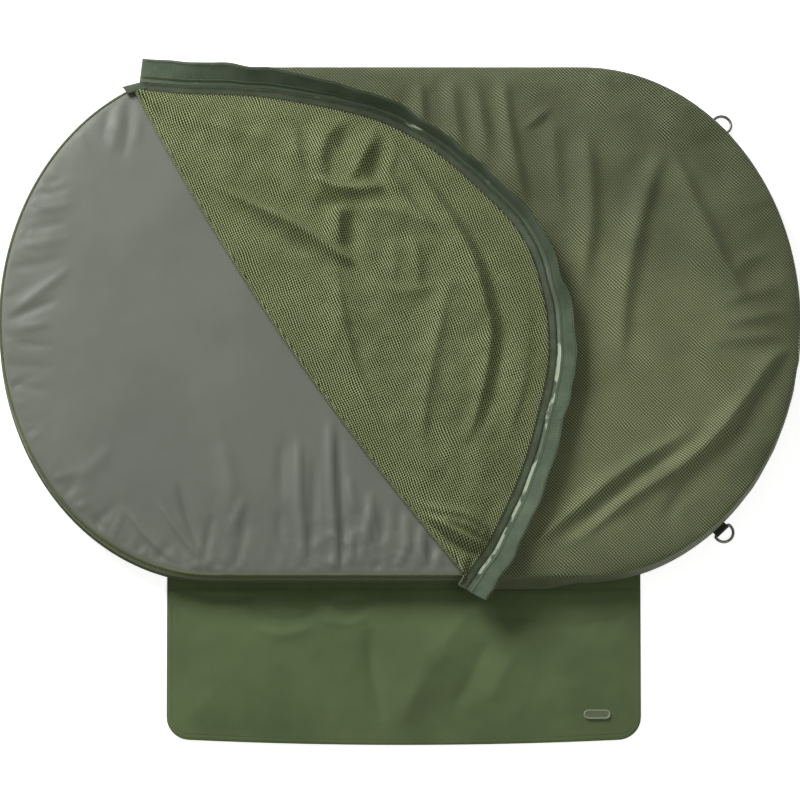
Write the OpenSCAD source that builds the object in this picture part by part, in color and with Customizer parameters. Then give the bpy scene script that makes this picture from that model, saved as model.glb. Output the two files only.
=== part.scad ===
// Padded unhooking mat for landed fish, with a fold-back mesh cover and a kneeling flap.
// X runs along the mat, Y to the rear, Z up. The origin is the middle of the flat underside.

/* [Mat] */
// Length of the mat over its two rounded ends
mat_l = 1000; // [800:5:1300]
// Width of the mat
mat_w = 655; // [560:5:800]
// Length of each rounded end, measured along the mat
end_l = 269; // [200:1:330]
// Height of the sewn side wall, from the base sheet to the top seam
wall_h = 35; // [26:1:70]
// How far the padded top swells above its seam
crown_h = 9; // [4:1:20]
// Thickness of the base, wall and top fabrics
skin_t = 1.2; // [0.8:0.1:2]
// Radius of the piping in the top and base seams
piping_r = 1.8; // [1.2:0.1:2.5]

/* [Hook and loop] */
// Height of the loop tape on the side wall
loop_w = 24; // [16:1:24]
// Thickness of the tapes and of the webbing
tape_t = 1.2; // [0.8:0.1:2]

/* [Mesh cover] */
// Thickness of the mesh cloth
mesh_t = 1; // [0.6:0.1:1.5]
// How far the fixed mesh lies above the padded top
mesh_lift = 2.2; // [1.6:0.1:5]
// How far the folded flap lies above the fixed mesh along its fold
flap_gap = 0.7; // [0.4:0.1:0.9]
// How far the fold line bows towards the bare end
fold_bow = 22; // [0:1:40]
// Width of the ribbed webbing along the flap's free edge
webbing_w = 25; // [15:1:30]
// Width of the hook tape that shows beside the webbing
hook_w = 6; // [4:1:10]
// Width of the binding that holds the mesh
binding_w = 12; // [8:1:16]
// Lean of the webbing where it stands steepest
band_tilt = 84; // [0:1:86]

/* [D-rings] */
// Place of each ring round the right end, from the end's own axis
ring_turn = 51.5; // [35:0.5:65]
// Clear width inside a ring
ring_in = 20; // [16:0.5:30]
// Diameter of a ring's wire
ring_wire = 3.8; // [2.5:0.1:5]
// Straight leg of a ring, between its bar and its round end
ring_leg = 3.5; // [3:0.5:10]
// Distance from the side wall to the middle of a ring's bar
ring_reach = 10; // [9:0.5:16]
// Running clearance of a tab's loop round the bar
ring_play = 0.2; // [0.1:0.05:0.4]
// Width of a ring's tab
tab_w = 19; // [12:0.5:19.5]

/* [Kneeling flap] */
// Width of the kneeling flap
kneel_w = 594; // [400:2:660]
// Depth of the kneeling flap from its hinge line to the middle of its front edge
kneel_d = 200; // [150:5:320]
// Sideways place of the kneeling flap's middle
kneel_x = 6; // [-20:1:20]
// How far the front edge bows out
kneel_bow = 8; // [0:1:20]
// Radius of its two front corners
kneel_r = 28; // [10:1:60]
// Thickness of the kneeling flap in its middle
kneel_t = 11; // [8:0.5:20]
// Thickness along its stitched edge
kneel_edge_t = 3; // [2.6:0.1:4]
// Free width of the hinge strip, from the base sheet to the hinge line
hinge_w = 9; // [8:0.5:20]
// Length of the pill-shaped badge
badge_l = 34; // [20:1:50]
// Width of the badge
badge_w = 12.5; // [8:0.5:20]

/* [Hidden] */

half_w = mat_w / 2;
straight = mat_l - 2 * end_l;
seam_z = skin_t + wall_h;

// Rounded ends are drawn with this many flats each.
end_flats = 28;
// The padded top's rings, as shares of the way from its middle to its rim.
crown_rings = [1, 0.97, 0.92, 0.84, 0.72, 0.55, 0.32];
crown_power = 4;

// Seams: the piping sits on the base sheet's edge, with a tab's thickness between them.
seam_out = 2 * piping_r;
base_piping_z = skin_t + tape_t + piping_r;
piping_sides = 6;

// Loop tape: it runs round the left end, from the cover's rear corner to its front one.
loop_mid_z = skin_t + wall_h / 2;
// Its first flat on the end, counted from the rear.
loop_first = 4;

// Ends of the cover's fold line: just inside the rear rim, and just past the front rim.
fold_rear_x = -mat_l / 3;
rear_rim_y = half_w * sqrt(1 - pow(max(-fold_rear_x - straight / 2, 0) / end_l, 2));
fold_rear = [fold_rear_x, 0.98 * rear_rim_y];
fold_past_rim = 5.5;
fold_front = [mat_l / 12, -half_w - fold_past_rim];
fold_run = fold_front - fold_rear;
// Square to the fold line, towards the bare end.
fold_side = [fold_run[1], -fold_run[0]] / norm(fold_run);

// The fixed mesh is sewn down from this far past each end of the fold line.
cover_start = 16;
cover_rear_x = fold_rear[0] + cover_start;
cover_front_x = fold_front[0] + cover_start;
// The mesh passes outside the top piping and stops just above the base piping.
skirt_gap = 0.9;
skirt_out = seam_out + skirt_gap + mesh_t;
skirt_top_z = seam_z + piping_r + mesh_t / 2 + skirt_gap;
skirt_start_z = skirt_top_z - 1.6 * mesh_t;
skirt_foot_z = base_piping_z + piping_r + skirt_gap / 3;
// Its way along the rim: from the rear seam corner round the right end to the front one.
rear_corner_t = acos(min(1, (-cover_rear_x - straight / 2) / end_l));
end_arc = PI * sqrt((end_l * end_l + half_w * half_w) / 2);
rear_run = (90 - rear_corner_t) / 180 * end_arc;
cover_run = rear_run + straight + end_arc + straight / 2 - cover_front_x;
cover_steps = 42;
cover_rows = 9;
skirt_rows = 3;
// Rows of the cloth lie closer together towards the rim.
row_spread = 1.4;
// The cover's folds are flat over the first share of its width and full past the second.
fold_free_from = 0.45;
fold_free_full = 0.7;

// Free edge of the folded-back flap, as shares of half the mat's length and half its width.
free_edge = [
    [-0.648, 1.041], [-0.35, 0.985], [-0.048, 0.861], [0.184, 0.617], [0.366, 0.307],
    [0.442, -0.09], [0.41, -0.444], [0.31, -0.886], [0.218, -1.118]
];
// Lean of the webbing at each of those points, as shares of band_tilt.
leans = [0.06, 0.55, 0.88, 1, 0.89, 0.55, 0.52, 0.36, 0.18];
// The hook tape and the binding lean by this share of the webbing's lean.
inner_lean = 0.25;
band_w = webbing_w + hook_w + binding_w;
flap_steps = 32;
flap_rows = 11;
// The edge's direction is taken over this share of its length, each way.
edge_step = 0.01;
// How far the flap and its edge band rise above where the flap starts at its fold.
flap_loft = 4;
band_loft = 1.5;
// Shares of the flap's width over which it leaves its fold, settles and climbs to the band.
leave_fold = 1 / 3;
settle = 1 / 4;
climb = 0.4;

// Main folds: two ends of the crest as shares of the half sizes, width and height in mm.
cover_folds = [
    [[0.16, 0.98], [0.17, 0.84], 14, 5],
    [[0.27, 0.98], [0.28, 0.72], 16, 6],
    [[0.41, 0.97], [0.42, 0.5], 20, 5],
    [[0.98, -0.1], [0.5, -0.8], 26, 9],
    [[0.86, -0.43], [0.6, -0.93], 22, 7],
    [[0.6, 0.6], [0.58, -0.2], 30, 4]
];
flap_folds = [
    [[-0.48, 0.54], [-0.15, 0.26], 16, 5],
    [[-0.22, 0.8], [-0.05, 0.45], 18, 6],
    [[0.02, 0.6], [0.2, 0.1], 16, 6],
    [[-0.15, 0.2], [-0.06, -0.2], 18, 4],
    [[0.04, -0.3], [0.18, -0.75], 20, 6]
];

// D-rings: the tongue of each tab lies between the base sheet and the piping.
wire_r = ring_wire / 2;
bore_r = wire_r + ring_play;
loop_r = bore_r + tape_t;
ground_gap = 0.2;
bar_z = loop_r + ground_gap;
bend_r = ring_in / 2 + wire_r;
// The wire turns this tightly where the bar meets the legs.
corner_gap = 0.4;
corner_r = wire_r + corner_gap;
// A ring rests with its far end just above the ground.
ring_droop = asin((bar_z - wire_r - ground_gap / 4) / (ring_leg + bend_r));

// Kneeling flap: its hinge line lies at the underside, so that it can fold under the mat.
hinge_clear = 0.6;
hinge_y = -half_w - seam_out - hinge_w;
kneel_back_y = hinge_y - hinge_clear / 2;
kneel_front_y = hinge_y - kneel_d;
kneel_mid = [kneel_x, (kneel_back_y + kneel_front_y) / 2];
kneel_rings = [1, 0.975, 0.94, 0.88, 0.5];
kneel_power = 30;
kneel_corner_steps = 8;
kneel_front_steps = 6;
// The badge lies this far in from the flap's right edge and from its front edge.
badge_in = [55, 38];
badge_at = [kneel_x + kneel_w / 2 - badge_in[0], kneel_front_y + badge_in[1]];
badge_t = 1.4;
badge_seat = 0.05;

// ---------- outline of the mat ----------

// A point of a rounded end: side is 1 on the right and -1 on the left, t turns from -90 to 90.
function end_point(side, t, out = 0, q = 1) = [
    side * (straight / 2 + q * (end_l + out) * cos(t)),
    q * (half_w + out) * sin(t)
];

// The whole outline, moved outwards by out, or scaled by q about the middle line.
function outline(out = 0, q = 1) = concat(
    [for (i = [0:end_flats]) end_point(1, -90 + 180 * i / end_flats, out, q)],
    [for (i = [0:end_flats]) end_point(-1, 90 - 180 * i / end_flats, out, q)]
);

// 0 on the middle line, 1 at the rim, and more outside it.
function rim_share(p) = norm([max(abs(p[0]) - straight / 2, 0) / end_l, p[1] / half_w]);
function swell(q) = crown_h * (1 - pow(min(q, 1), crown_power));
function padded_z(p) = seam_z + skin_t + swell(rim_share(p));

function at_z(points, z) = [for (p = points) [p[0], p[1], z]];

// ---------- builders of closed solids from rows of points ----------

// Triangles between two loops of n points, whose first points are a and b.
function band_faces(a, b, n) = [
    for (i = [0:n - 1])
    let (j = (i + 1) % n)
    each [[a + i, b + i, b + j], [a + i, b + j, a + j]]
];

// A solid through closed loops, each with as many points, with its two ends shut.
module loft(loops) {
    n = len(loops[0]);
    last = (len(loops) - 1) * n;
    middles = [for (l = [loops[0], loops[len(loops) - 1]]) [for (k = [0:2]) mean(l, k)]];
    points = concat([for (l = loops) each l], middles);
    foot = len(points) - 2;
    head = len(points) - 1;
    faces = concat(
        [for (k = [0:len(loops) - 2]) each band_faces(k * n, (k + 1) * n, n)],
        [for (i = [0:n - 1]) [foot, i, (i + 1) % n]],
        [for (i = [0:n - 1]) [head, last + (i + 1) % n, last + i]]
    );
    polyhedron(points, faces, convexity = 4);
}

function mean(points, k) = [for (p = points) p[k]] * [for (p = points) 1] / len(points);

// A tube through rings that close on themselves.
module ring_tube(rings) {
    n = len(rings[0]);
    count = len(rings);
    faces = [for (k = [0:count - 1]) each band_faces(((k + 1) % count) * n, k * n, n)];
    polyhedron([for (r = rings) each r], faces, convexity = 6);
}

// A cloth between two grids of points, each a list of rows.
module cloth(upper, lower) {
    m = len(upper[0]);
    rows = len(upper);
    low = rows * m;
    cells = [for (r = [0:rows - 2]) for (c = [0:m - 2]) r * m + c];
    border = concat(
        [for (c = [0:m - 1]) c],
        [for (r = [1:rows - 1]) r * m + m - 1],
        [for (c = [m - 2:-1:0]) (rows - 1) * m + c],
        [for (r = [rows - 2:-1:1]) r * m]
    );
    faces = concat(
        [for (a = cells) each [[a, a + 1, a + m + 1], [a, a + m + 1, a + m]]],
        [for (a = cells) each [
            [low + a, low + a + m + 1, low + a + 1],
            [low + a, low + a + m, low + a + m + 1]
        ]],
        [for (i = [0:len(border) - 1])
            let (a = border[i], b = border[(i + 1) % len(border)])
            each [[b, a, low + a], [b, low + a, low + b]]]
    );
    polyhedron([for (r = concat(upper, lower)) each r], faces, convexity = 8);
}

// ---------- mat ----------

module foam_core() {
    inner = outline(-skin_t);
    color("khaki")
        loft(concat(
            [at_z(inner, skin_t), at_z(inner, seam_z)],
            [for (k = [1:len(crown_rings) - 1])
                at_z(outline(0, crown_rings[k]), seam_z + swell(crown_rings[k]))]
        ));
}

module base_sheet() {
    color("darkolivegreen")
        linear_extrude(skin_t)
            polygon(outline(seam_out));
}

module side_wall() {
    color("olivedrab")
        translate([0, 0, skin_t])
            linear_extrude(wall_h)
                difference() {
                    polygon(outline());
                    polygon(outline(-skin_t));
                }
}

module top_sheet() {
    last = len(crown_rings) - 1;
    color("slategray")
        loft(concat(
            [for (k = [last:-1:0]) at_z(outline(0, crown_rings[k]), seam_z + swell(crown_rings[k]))],
            [for (k = [0:last]) at_z(outline(0, crown_rings[k]), seam_z + skin_t + swell(crown_rings[k]))]
        ));
}

// Piping round the whole outline with its middle at height z.
module piping(z) {
    ring_tube([
        for (i = [0:2 * end_flats + 1])
        [for (k = [0:piping_sides - 1])
            let (a = 360 * k / piping_sides)
            let (p = outline(piping_r * (1 + cos(a)))[i])
            [p[0], p[1], z + piping_r * sin(a)]]
    ]);
}

module top_piping() {
    color("darkolivegreen") piping(seam_z);
}

module base_piping() {
    color("darkolivegreen") piping(base_piping_z);
}

// Outline points of the left end and the straight front, up to where the fixed mesh starts.
function loop_line(out) = concat(
    [for (i = [loop_first:end_flats]) end_point(-1, 90 - 180 * i / end_flats, out)],
    [[fold_front[0], -half_w - out]]
);

module loop_tape() {
    inner = loop_line(0);
    outer = loop_line(tape_t);
    color("darkolivegreen")
        translate([0, 0, loop_mid_z - loop_w / 2])
            linear_extrude(loop_w)
                polygon(concat(inner, [for (i = [len(outer) - 1:-1:0]) outer[i]]));
}

// ---------- mesh cover ----------

function fold_point(u) = fold_rear + fold_run * u + fold_side * fold_bow * 4 * u * (1 - u);

// Height that the folds add at a place.
function along(p, a, b) = max(0, min(1, (p - a) * (b - a) / ((b - a) * (b - a))));
function crest(p, fold) =
    let (a = sized(fold[0]), b = sized(fold[1]))
    let (away = norm(p - a - (b - a) * along(p, a, b)) / fold[2])
    fold[3] * exp(-away * away);
function sized(share) = [share[0] * mat_l / 2, share[1] * half_w];
function crests(p, folds) = [for (f = folds) crest(p, f)] * [for (f = folds) 1];

// Place on the rim at a distance along it from the rear seam corner.
function rim_place(s, out) =
    s < rear_run ? end_point(-1, rear_corner_t + 180 * s / end_arc, out)
    : s < rear_run + straight ? [s - rear_run - straight / 2, half_w + out]
    : s < rear_run + straight + end_arc
        ? end_point(1, 90 - 180 * (s - rear_run - straight) / end_arc, out)
    : [straight / 2 - (s - rear_run - straight - end_arc), -half_w - out];

// Folds flatten out under the folded-back flap, which hides them.
function beside_flap(v) = min(1, max(0, (v - fold_free_from) / (fold_free_full - fold_free_from)));
function cover_top(u, v) =
    let (p = fold_point(u) * (1 - v) + rim_place(u * cover_run, seam_out) * v)
    let (z = padded_z(p) + mesh_lift + mesh_t + beside_flap(v) * crests(p, cover_folds))
    [p[0], p[1], v == 1 ? skirt_top_z : z];
function cover_skirt(u, w, out) =
    let (p = rim_place(u * cover_run, out))
    [p[0], p[1], skirt_start_z - (skirt_start_z - skirt_foot_z) * w];

module mesh_cover() {
    top_rows = [for (k = [0:cover_rows]) 1 - pow(1 - k / cover_rows, row_spread)];
    skirt = [for (k = [0:skirt_rows]) k / skirt_rows];
    steps = [for (i = [0:cover_steps]) i / cover_steps];
    upper = [for (u = steps) concat(
        [for (v = top_rows) cover_top(u, v)],
        [for (w = skirt) cover_skirt(u, w, skirt_out)]
    )];
    lower = [for (u = steps) concat(
        [for (v = top_rows) cover_top(u, v) - [0, 0, mesh_t]],
        [for (w = skirt) cover_skirt(u, w, skirt_out - mesh_t)]
    )];
    color("olive") cloth(upper, lower);
}

// Free edge of the flap: a smooth curve through the points of free_edge.
function bend(a, b, c, d, t) = (2 * b + (c - a) * t + (2 * a - 5 * b + 4 * c - d) * t * t
    + (3 * b - a - 3 * c + d) * t * t * t) / 2;
function edge_point(u) =
    let (last = len(free_edge) - 1)
    let (i = min(floor(u * last), last - 1))
    bend(
        sized(free_edge[max(i - 1, 0)]), sized(free_edge[i]),
        sized(free_edge[i + 1]), sized(free_edge[min(i + 2, last)]), u * last - i
    );
function edge_inwards(u) =
    let (d = edge_point(min(u + edge_step, 1)) - edge_point(max(u - edge_step, 0)))
    [d[1], -d[0]] / norm(d);

function ease(t) = let (s = max(0, min(1, t))) s * s * (3 - 2 * s);
function tilt(u) =
    let (last = len(leans) - 1)
    let (i = min(floor(u * last), last - 1))
    band_tilt * bend(
        leans[max(i - 1, 0)], leans[i], leans[i + 1], leans[min(i + 2, last)], u * last - i
    );

// The edge band's section at u: how far in and how high a point lies that is s along the band.
// The webbing stands up from the hook tape, and its free edge is the highest.
function inner_tilt(u) = inner_lean * tilt(u);
function band_in(u, s) =
    min(s, webbing_w) * cos(tilt(u)) + max(0, s - webbing_w) * cos(inner_tilt(u));
function band_up(u, s) =
    max(0, webbing_w - s) * sin(tilt(u)) + (band_w - max(s, webbing_w)) * sin(inner_tilt(u));
// Way in and up from the band's lower face to its upper one. It is mitred where the webbing starts.
function band_square(u, s) =
    s < webbing_w ? [sin(tilt(u)), cos(tilt(u))]
    : s == webbing_w
        ? let (a = (tilt(u) + inner_tilt(u)) / 2, b = (tilt(u) - inner_tilt(u)) / 2)
            [sin(a), cos(a)] / cos(b)
    : s < band_w ? [sin(inner_tilt(u)), cos(inner_tilt(u))]
    : [0, 1];
function band_place(u, s) = edge_point(u) + edge_inwards(u) * band_in(u, s);
function band_point(u, s, lift) =
    let (n = band_square(u, s) * lift)
    let (p = band_place(u, s) + edge_inwards(u) * n[0])
    let (rest_z = padded_z(band_place(u, band_w)) + mesh_lift + mesh_t + flap_gap + band_loft)
    [p[0], p[1], rest_z + band_up(u, s) + n[1]];

// A strip of the band from s0 to s1, of the given thickness.
module strip(s0, s1, lift, t) {
    steps = [for (i = [0:flap_steps]) i / flap_steps];
    cloth(
        [for (u = steps) [band_point(u, s0, lift), band_point(u, s1, lift)]],
        [for (u = steps) [band_point(u, s0, lift + t), band_point(u, s1, lift + t)]]
    );
}

module edge_webbing() {
    color("darkseagreen") strip(0, webbing_w, 0, tape_t);
}

module hook_tape() {
    color("lightgray") strip(webbing_w, webbing_w + hook_w, 0, tape_t);
}

module flap_binding() {
    color("darkolivegreen") strip(webbing_w + hook_w, band_w, 0, tape_t);
}

function flap_point(u, v, lift) =
    let (b = band_point(u, band_w, 0))
    let (a = fold_point(u))
    let (p = a * (1 - v) + [b[0], b[1]] * v)
    let (risen = ease(v / leave_fold))
    let (inner = risen * ease((1 - v) / settle))
    let (rest_z = padded_z(p) + mesh_lift + mesh_t + flap_gap + flap_loft * risen)
    let (rise = ease((v - 1 + climb) / climb) * (b[2] - rest_z))
    let (z = v == 1 ? b[2] : rest_z + inner * crests(p, flap_folds) + rise)
    [p[0], p[1], z + lift];

module mesh_flap() {
    steps = [for (i = [0:flap_steps]) i / flap_steps];
    rows = [for (k = [0:flap_rows]) k / flap_rows];
    color("yellowgreen")
        cloth(
            [for (u = steps) [for (v = rows) flap_point(u, v, mesh_t)]],
            [for (u = steps) [for (v = rows) flap_point(u, v, 0)]]
        );
}

// ---------- D-rings ----------

// Children stand at the ring's place with X outwards and Y along the rim. side is 1 at the rear.
module at_ring(side) {
    t = side * ring_turn;
    p = end_point(1, t);
    translate([p[0], p[1], 0])
        rotate([0, 0, atan2(sin(t) / half_w, cos(t) / end_l)])
            children();
}

module ring_tab(side) {
    color("darkslategray")
        at_ring(side)
            difference() {
                union() {
                    translate([0, -tab_w / 2, skin_t])
                        cube([ring_reach, tab_w, tape_t]);
                    translate([ring_reach, tab_w / 2, bar_z])
                        rotate([90, 0, 0])
                            cylinder(h = tab_w, r = loop_r, $fn = 48);
                }
                translate([ring_reach, tab_w, bar_z])
                    rotate([90, 0, 0])
                        cylinder(h = 2 * tab_w, r = bore_r, $fn = 48);
            }
}

// A quarter turn of wire, from the -X side of its middle to the Y side.
module wire_corner() {
    rotate([0, 0, 90])
        rotate_extrude(angle = 90, $fn = 64)
            translate([corner_r, 0])
                circle(r = wire_r, $fn = 32);
}

module d_ring(side) {
    color("dimgray")
        at_ring(side)
            translate([ring_reach, 0, bar_z])
                rotate([0, ring_droop, 0]) {
                    translate([0, bend_r - corner_r, 0])
                        rotate([90, 0, 0])
                            cylinder(h = 2 * (bend_r - corner_r), r = wire_r, $fn = 32);
                    for (m = [0, 1])
                        mirror([0, m, 0]) {
                            translate([corner_r, bend_r - corner_r, 0])
                                wire_corner();
                            translate([corner_r, bend_r, 0])
                                rotate([0, 90, 0])
                                    cylinder(h = ring_leg - corner_r, r = wire_r, $fn = 32);
                        }
                    translate([ring_leg, 0, 0])
                        rotate([0, 0, -90])
                            rotate_extrude(angle = 180, $fn = 64)
                                translate([bend_r, 0])
                                    circle(r = wire_r, $fn = 32);
                }
}

module rear_ring_tab() { ring_tab(1); }
module front_ring_tab() { ring_tab(-1); }
module rear_d_ring() { d_ring(1); }
module front_d_ring() { d_ring(-1); }

// ---------- kneeling flap ----------

// Outline of the kneeling flap, with round front corners and a bowed front edge, at scale q.
function kneel_line(q = 1) =
    let (hw = kneel_w / 2)
    let (hd = (kneel_back_y - kneel_front_y) / 2)
    let (corner = [for (i = [0:kneel_corner_steps]) 90 * i / kneel_corner_steps])
    let (line = concat(
        [[hw, hd], [-hw, hd]],
        [for (a = corner) [-hw + kneel_r * (1 - cos(a)), -hd + kneel_bow + kneel_r * (1 - sin(a))]],
        [for (i = [1:kneel_front_steps - 1])
            let (s = -1 + 2 * i / kneel_front_steps)
            [s * (hw - kneel_r), -hd + kneel_bow * s * s]],
        [for (a = corner) [hw - kneel_r * (1 - sin(a)), -hd + kneel_bow + kneel_r * (1 - cos(a))]]
    ))
    [for (p = line) kneel_mid + p * q];

function kneel_z(q) = kneel_edge_t + (kneel_t - kneel_edge_t) * (1 - pow(q, kneel_power));

module kneeler_hinge_strip() {
    front_y = hinge_y + hinge_clear;
    back_y = -half_w - seam_out;
    color("darkolivegreen")
        translate([kneel_x - kneel_w / 2, 0, 0]) {
            translate([0, front_y, 0])
                cube([kneel_w, back_y - front_y, skin_t]);
            translate([0, back_y - tape_t, 0])
                cube([kneel_w, tape_t, skin_t + tape_t]);
            translate([0, back_y - tape_t, skin_t])
                cube([kneel_w, seam_out + tape_t, tape_t]);
        }
}

module kneeler_base() {
    color("darkolivegreen")
        linear_extrude(skin_t)
            polygon(kneel_line());
}

module kneeler_foam() {
    color("khaki")
        loft(concat(
            [at_z(kneel_line(kneel_rings[1]), skin_t)],
            [for (k = [1:len(kneel_rings) - 1])
                at_z(kneel_line(kneel_rings[k]), kneel_z(kneel_rings[k]) - skin_t)]
        ));
}

module kneeler_top() {
    last = len(kneel_rings) - 1;
    color("darkolivegreen")
        loft(concat(
            [for (k = [last:-1:1]) at_z(kneel_line(kneel_rings[k]), kneel_z(kneel_rings[k]) - skin_t)],
            [at_z(kneel_line(), skin_t)],
            [for (k = [0:last]) at_z(kneel_line(kneel_rings[k]), kneel_z(kneel_rings[k]))]
        ));
}

module badge() {
    straight_l = badge_l - badge_w;
    color("olivedrab")
        translate([badge_at[0], badge_at[1], kneel_t + badge_seat])
            linear_extrude(badge_t) {
                square([straight_l, badge_w], center = true);
                for (x = [-straight_l / 2, straight_l / 2])
                    translate([x, 0])
                        circle(d = badge_w, $fn = 48);
            }
}

foam_core();
base_sheet();
side_wall();
top_sheet();
top_piping();
base_piping();
loop_tape();
mesh_cover();
mesh_flap();
flap_binding();
hook_tape();
edge_webbing();
rear_ring_tab();
front_ring_tab();
rear_d_ring();
front_d_ring();
kneeler_hinge_strip();
kneeler_base();
kneeler_foam();
kneeler_top();
badge();
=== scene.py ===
"""Looks of the padded unhooking mat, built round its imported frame.

Shapes are worked out in millimetres, with X along the mat, Y to the rear and Z up, and are placed
in metres. Cloths are grids: u runs along a cloth, v across it, both from 0 to 1.
"""
import math

import bmesh
import bpy
import numpy as np
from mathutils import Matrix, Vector


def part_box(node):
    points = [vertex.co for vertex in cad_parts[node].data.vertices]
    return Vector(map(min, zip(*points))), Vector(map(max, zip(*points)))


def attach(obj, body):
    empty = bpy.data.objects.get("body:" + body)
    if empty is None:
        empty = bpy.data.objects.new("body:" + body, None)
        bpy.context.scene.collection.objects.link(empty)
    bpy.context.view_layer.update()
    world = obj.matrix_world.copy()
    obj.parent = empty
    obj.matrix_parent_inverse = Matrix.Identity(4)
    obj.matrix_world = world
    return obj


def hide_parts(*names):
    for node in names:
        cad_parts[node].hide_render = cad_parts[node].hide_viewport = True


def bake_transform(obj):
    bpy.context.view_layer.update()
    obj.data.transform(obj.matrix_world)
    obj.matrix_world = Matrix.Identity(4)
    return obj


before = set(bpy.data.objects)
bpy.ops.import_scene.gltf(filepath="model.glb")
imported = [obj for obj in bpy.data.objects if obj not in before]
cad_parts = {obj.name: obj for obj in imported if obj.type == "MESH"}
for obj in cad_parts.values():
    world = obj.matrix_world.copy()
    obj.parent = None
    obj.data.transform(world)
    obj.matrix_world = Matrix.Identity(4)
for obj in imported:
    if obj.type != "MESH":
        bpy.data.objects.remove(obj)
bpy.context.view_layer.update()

MM = 0.001


def cad_box(node):
    """Lowest and highest corner of a CAD node, in millimetres."""
    low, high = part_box(node)
    return np.array(low) / MM, np.array(high) / MM


# ---------- sizes ----------

# The mat: half its length and width, and its cloth's thickness, on which the wall stands.
WALL_LOW, WALL_HIGH = cad_box("side_wall")
HALF_L, HALF_W = WALL_HIGH[0], WALL_HIGH[1]
SKIN = WALL_LOW[2]
SEAM_Z = WALL_HIGH[2]
TOP_Z = cad_box("top_sheet")[1][2]
CROWN = TOP_Z - SEAM_Z - SKIN
# Length of each rounded end, and of the straight side between them.
END_L = 269
STRAIGHT = 2 * (HALF_L - END_L)
PIPING_R = (cad_box("top_piping")[1][0] - HALF_L) / 2
BASE_PIPING_Z = cad_box("base_piping")[0][2] + 0.87 * PIPING_R
# How far the mesh's middle lies above the grey top's smooth shape.
MESH_LIFT = 2.6

# Widths of the edge band's three strips, side by side, and of the ring tabs.
WEBBING_W, HOOK_W, BINDING_W = 25, 6, 12
BAND_W = WEBBING_W + HOOK_W + BINDING_W
TAB_W = 19.0
# Thickness of the webbing, of the binding and of the mesh.
TAPE_T, BINDING_T, MESH_T = 1.2, 1.5, 0.6

KNEEL_LOW, KNEEL_HIGH = cad_box("kneeler_base")
KNEEL_TOP = cad_box("kneeler_top")[1][2]


# ---------- curves ----------

def smooth(t):
    """0 below 0, 1 above 1, and a smooth rise between."""
    t = np.clip(t, 0, 1)
    return t * t * (3 - 2 * t)


def columns(*values):
    """Rows of points from one array a coordinate."""
    return np.column_stack(values)


def spline(points, t):
    """Catmull-Rom curve through points, at shares t of its length in points."""
    points = np.array(points, float)
    last = len(points) - 1
    padded = np.vstack([2 * points[0] - points[1], points, 2 * points[-1] - points[-2]])
    place = np.clip(np.asarray(t, float), 0, 1) * last
    i = np.minimum(place.astype(int), last - 1)
    s = (place - i)[..., None]
    a, b, c, d = (padded[i + k] for k in range(4))
    return (2 * b + (c - a) * s + (2 * a - 5 * b + 4 * c - d) * s**2
            + (3 * b - a - 3 * c + d) * s**3) / 2


def distances(points):
    """Distance of each point along a line of points."""
    return np.concatenate([[0], np.cumsum(np.linalg.norm(np.diff(points, axis=0), axis=1))])


class Line:
    """A flat curve that is read by the distance along it, in millimetres."""

    def __init__(self, points, closed=False):
        points = np.array(points, float)
        if closed:
            points = np.vstack([points, points[:1]])
        self.at = distances(points)
        self.points = points
        self.length = self.at[-1]
        self.closed = closed

    def place(self, s):
        s = np.mod(s, self.length) if self.closed else s
        return np.stack([np.interp(s, self.at, self.points[:, k]) for k in (0, 1)], axis=-1)

    def outwards(self, s, reach=3.0):
        """Square to the line, to the right of the way it runs."""
        ahead, behind = s + reach, s - reach
        if not self.closed:
            ahead, behind = np.minimum(ahead, self.length), np.maximum(behind, 0)
        d = self.place(ahead) - self.place(behind)
        d = d / np.linalg.norm(d, axis=-1, keepdims=True)
        return np.stack([d[..., 1], -d[..., 0]], axis=-1)


def end_arc(side, turns):
    """Points of a rounded end; turns run in degrees from the long axis."""
    t = np.radians(turns)
    return np.stack([side * (STRAIGHT / 2 + END_L * np.cos(t)), HALF_W * np.sin(t)], axis=-1)


# The rim starts in the middle of the rear side and runs round the bare left end first.
ARC_STEPS, SIDE_STEPS = 240, 231
side_x = np.linspace(-STRAIGHT / 2, STRAIGHT / 2, SIDE_STEPS)[1:-1]
front_side = columns(side_x, np.full(len(side_x), -HALF_W))
rear_side = columns(-side_x, np.full(len(side_x), HALF_W))
rear_middle = len(side_x) // 2
rim = Line(np.vstack([
    rear_side[rear_middle:],
    end_arc(-1, np.linspace(90, -90, ARC_STEPS)),
    front_side,
    end_arc(1, np.linspace(-90, 90, ARC_STEPS)),
    rear_side[:rear_middle],
]), closed=True)


def rim_at(s, out):
    """Place on the rim at distance s, moved outwards by out."""
    return rim.place(s) + rim.outwards(s) * np.asarray(out)[..., None]


def rim_distance(x, y):
    """Distance along the rim of its point nearest to x, y."""
    return rim.at[np.argmin(np.hypot(rim.points[:, 0] - x, rim.points[:, 1] - y))]


def rim_share(x, y):
    """0 on the long axis, 1 at the rim."""
    return np.hypot(np.maximum(np.abs(x) - STRAIGHT / 2, 0) / END_L, y / HALF_W)


def from_axis(s, share):
    """Places on the way from the long axis, at share 0, to the rim at s."""
    p = rim.place(s)
    over = np.sign(p[:, 0]) * np.maximum(np.abs(p[:, 0]) - STRAIGHT / 2, 0)
    return columns(p[:, 0] - over + over * share, p[:, 1] * share)


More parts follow.
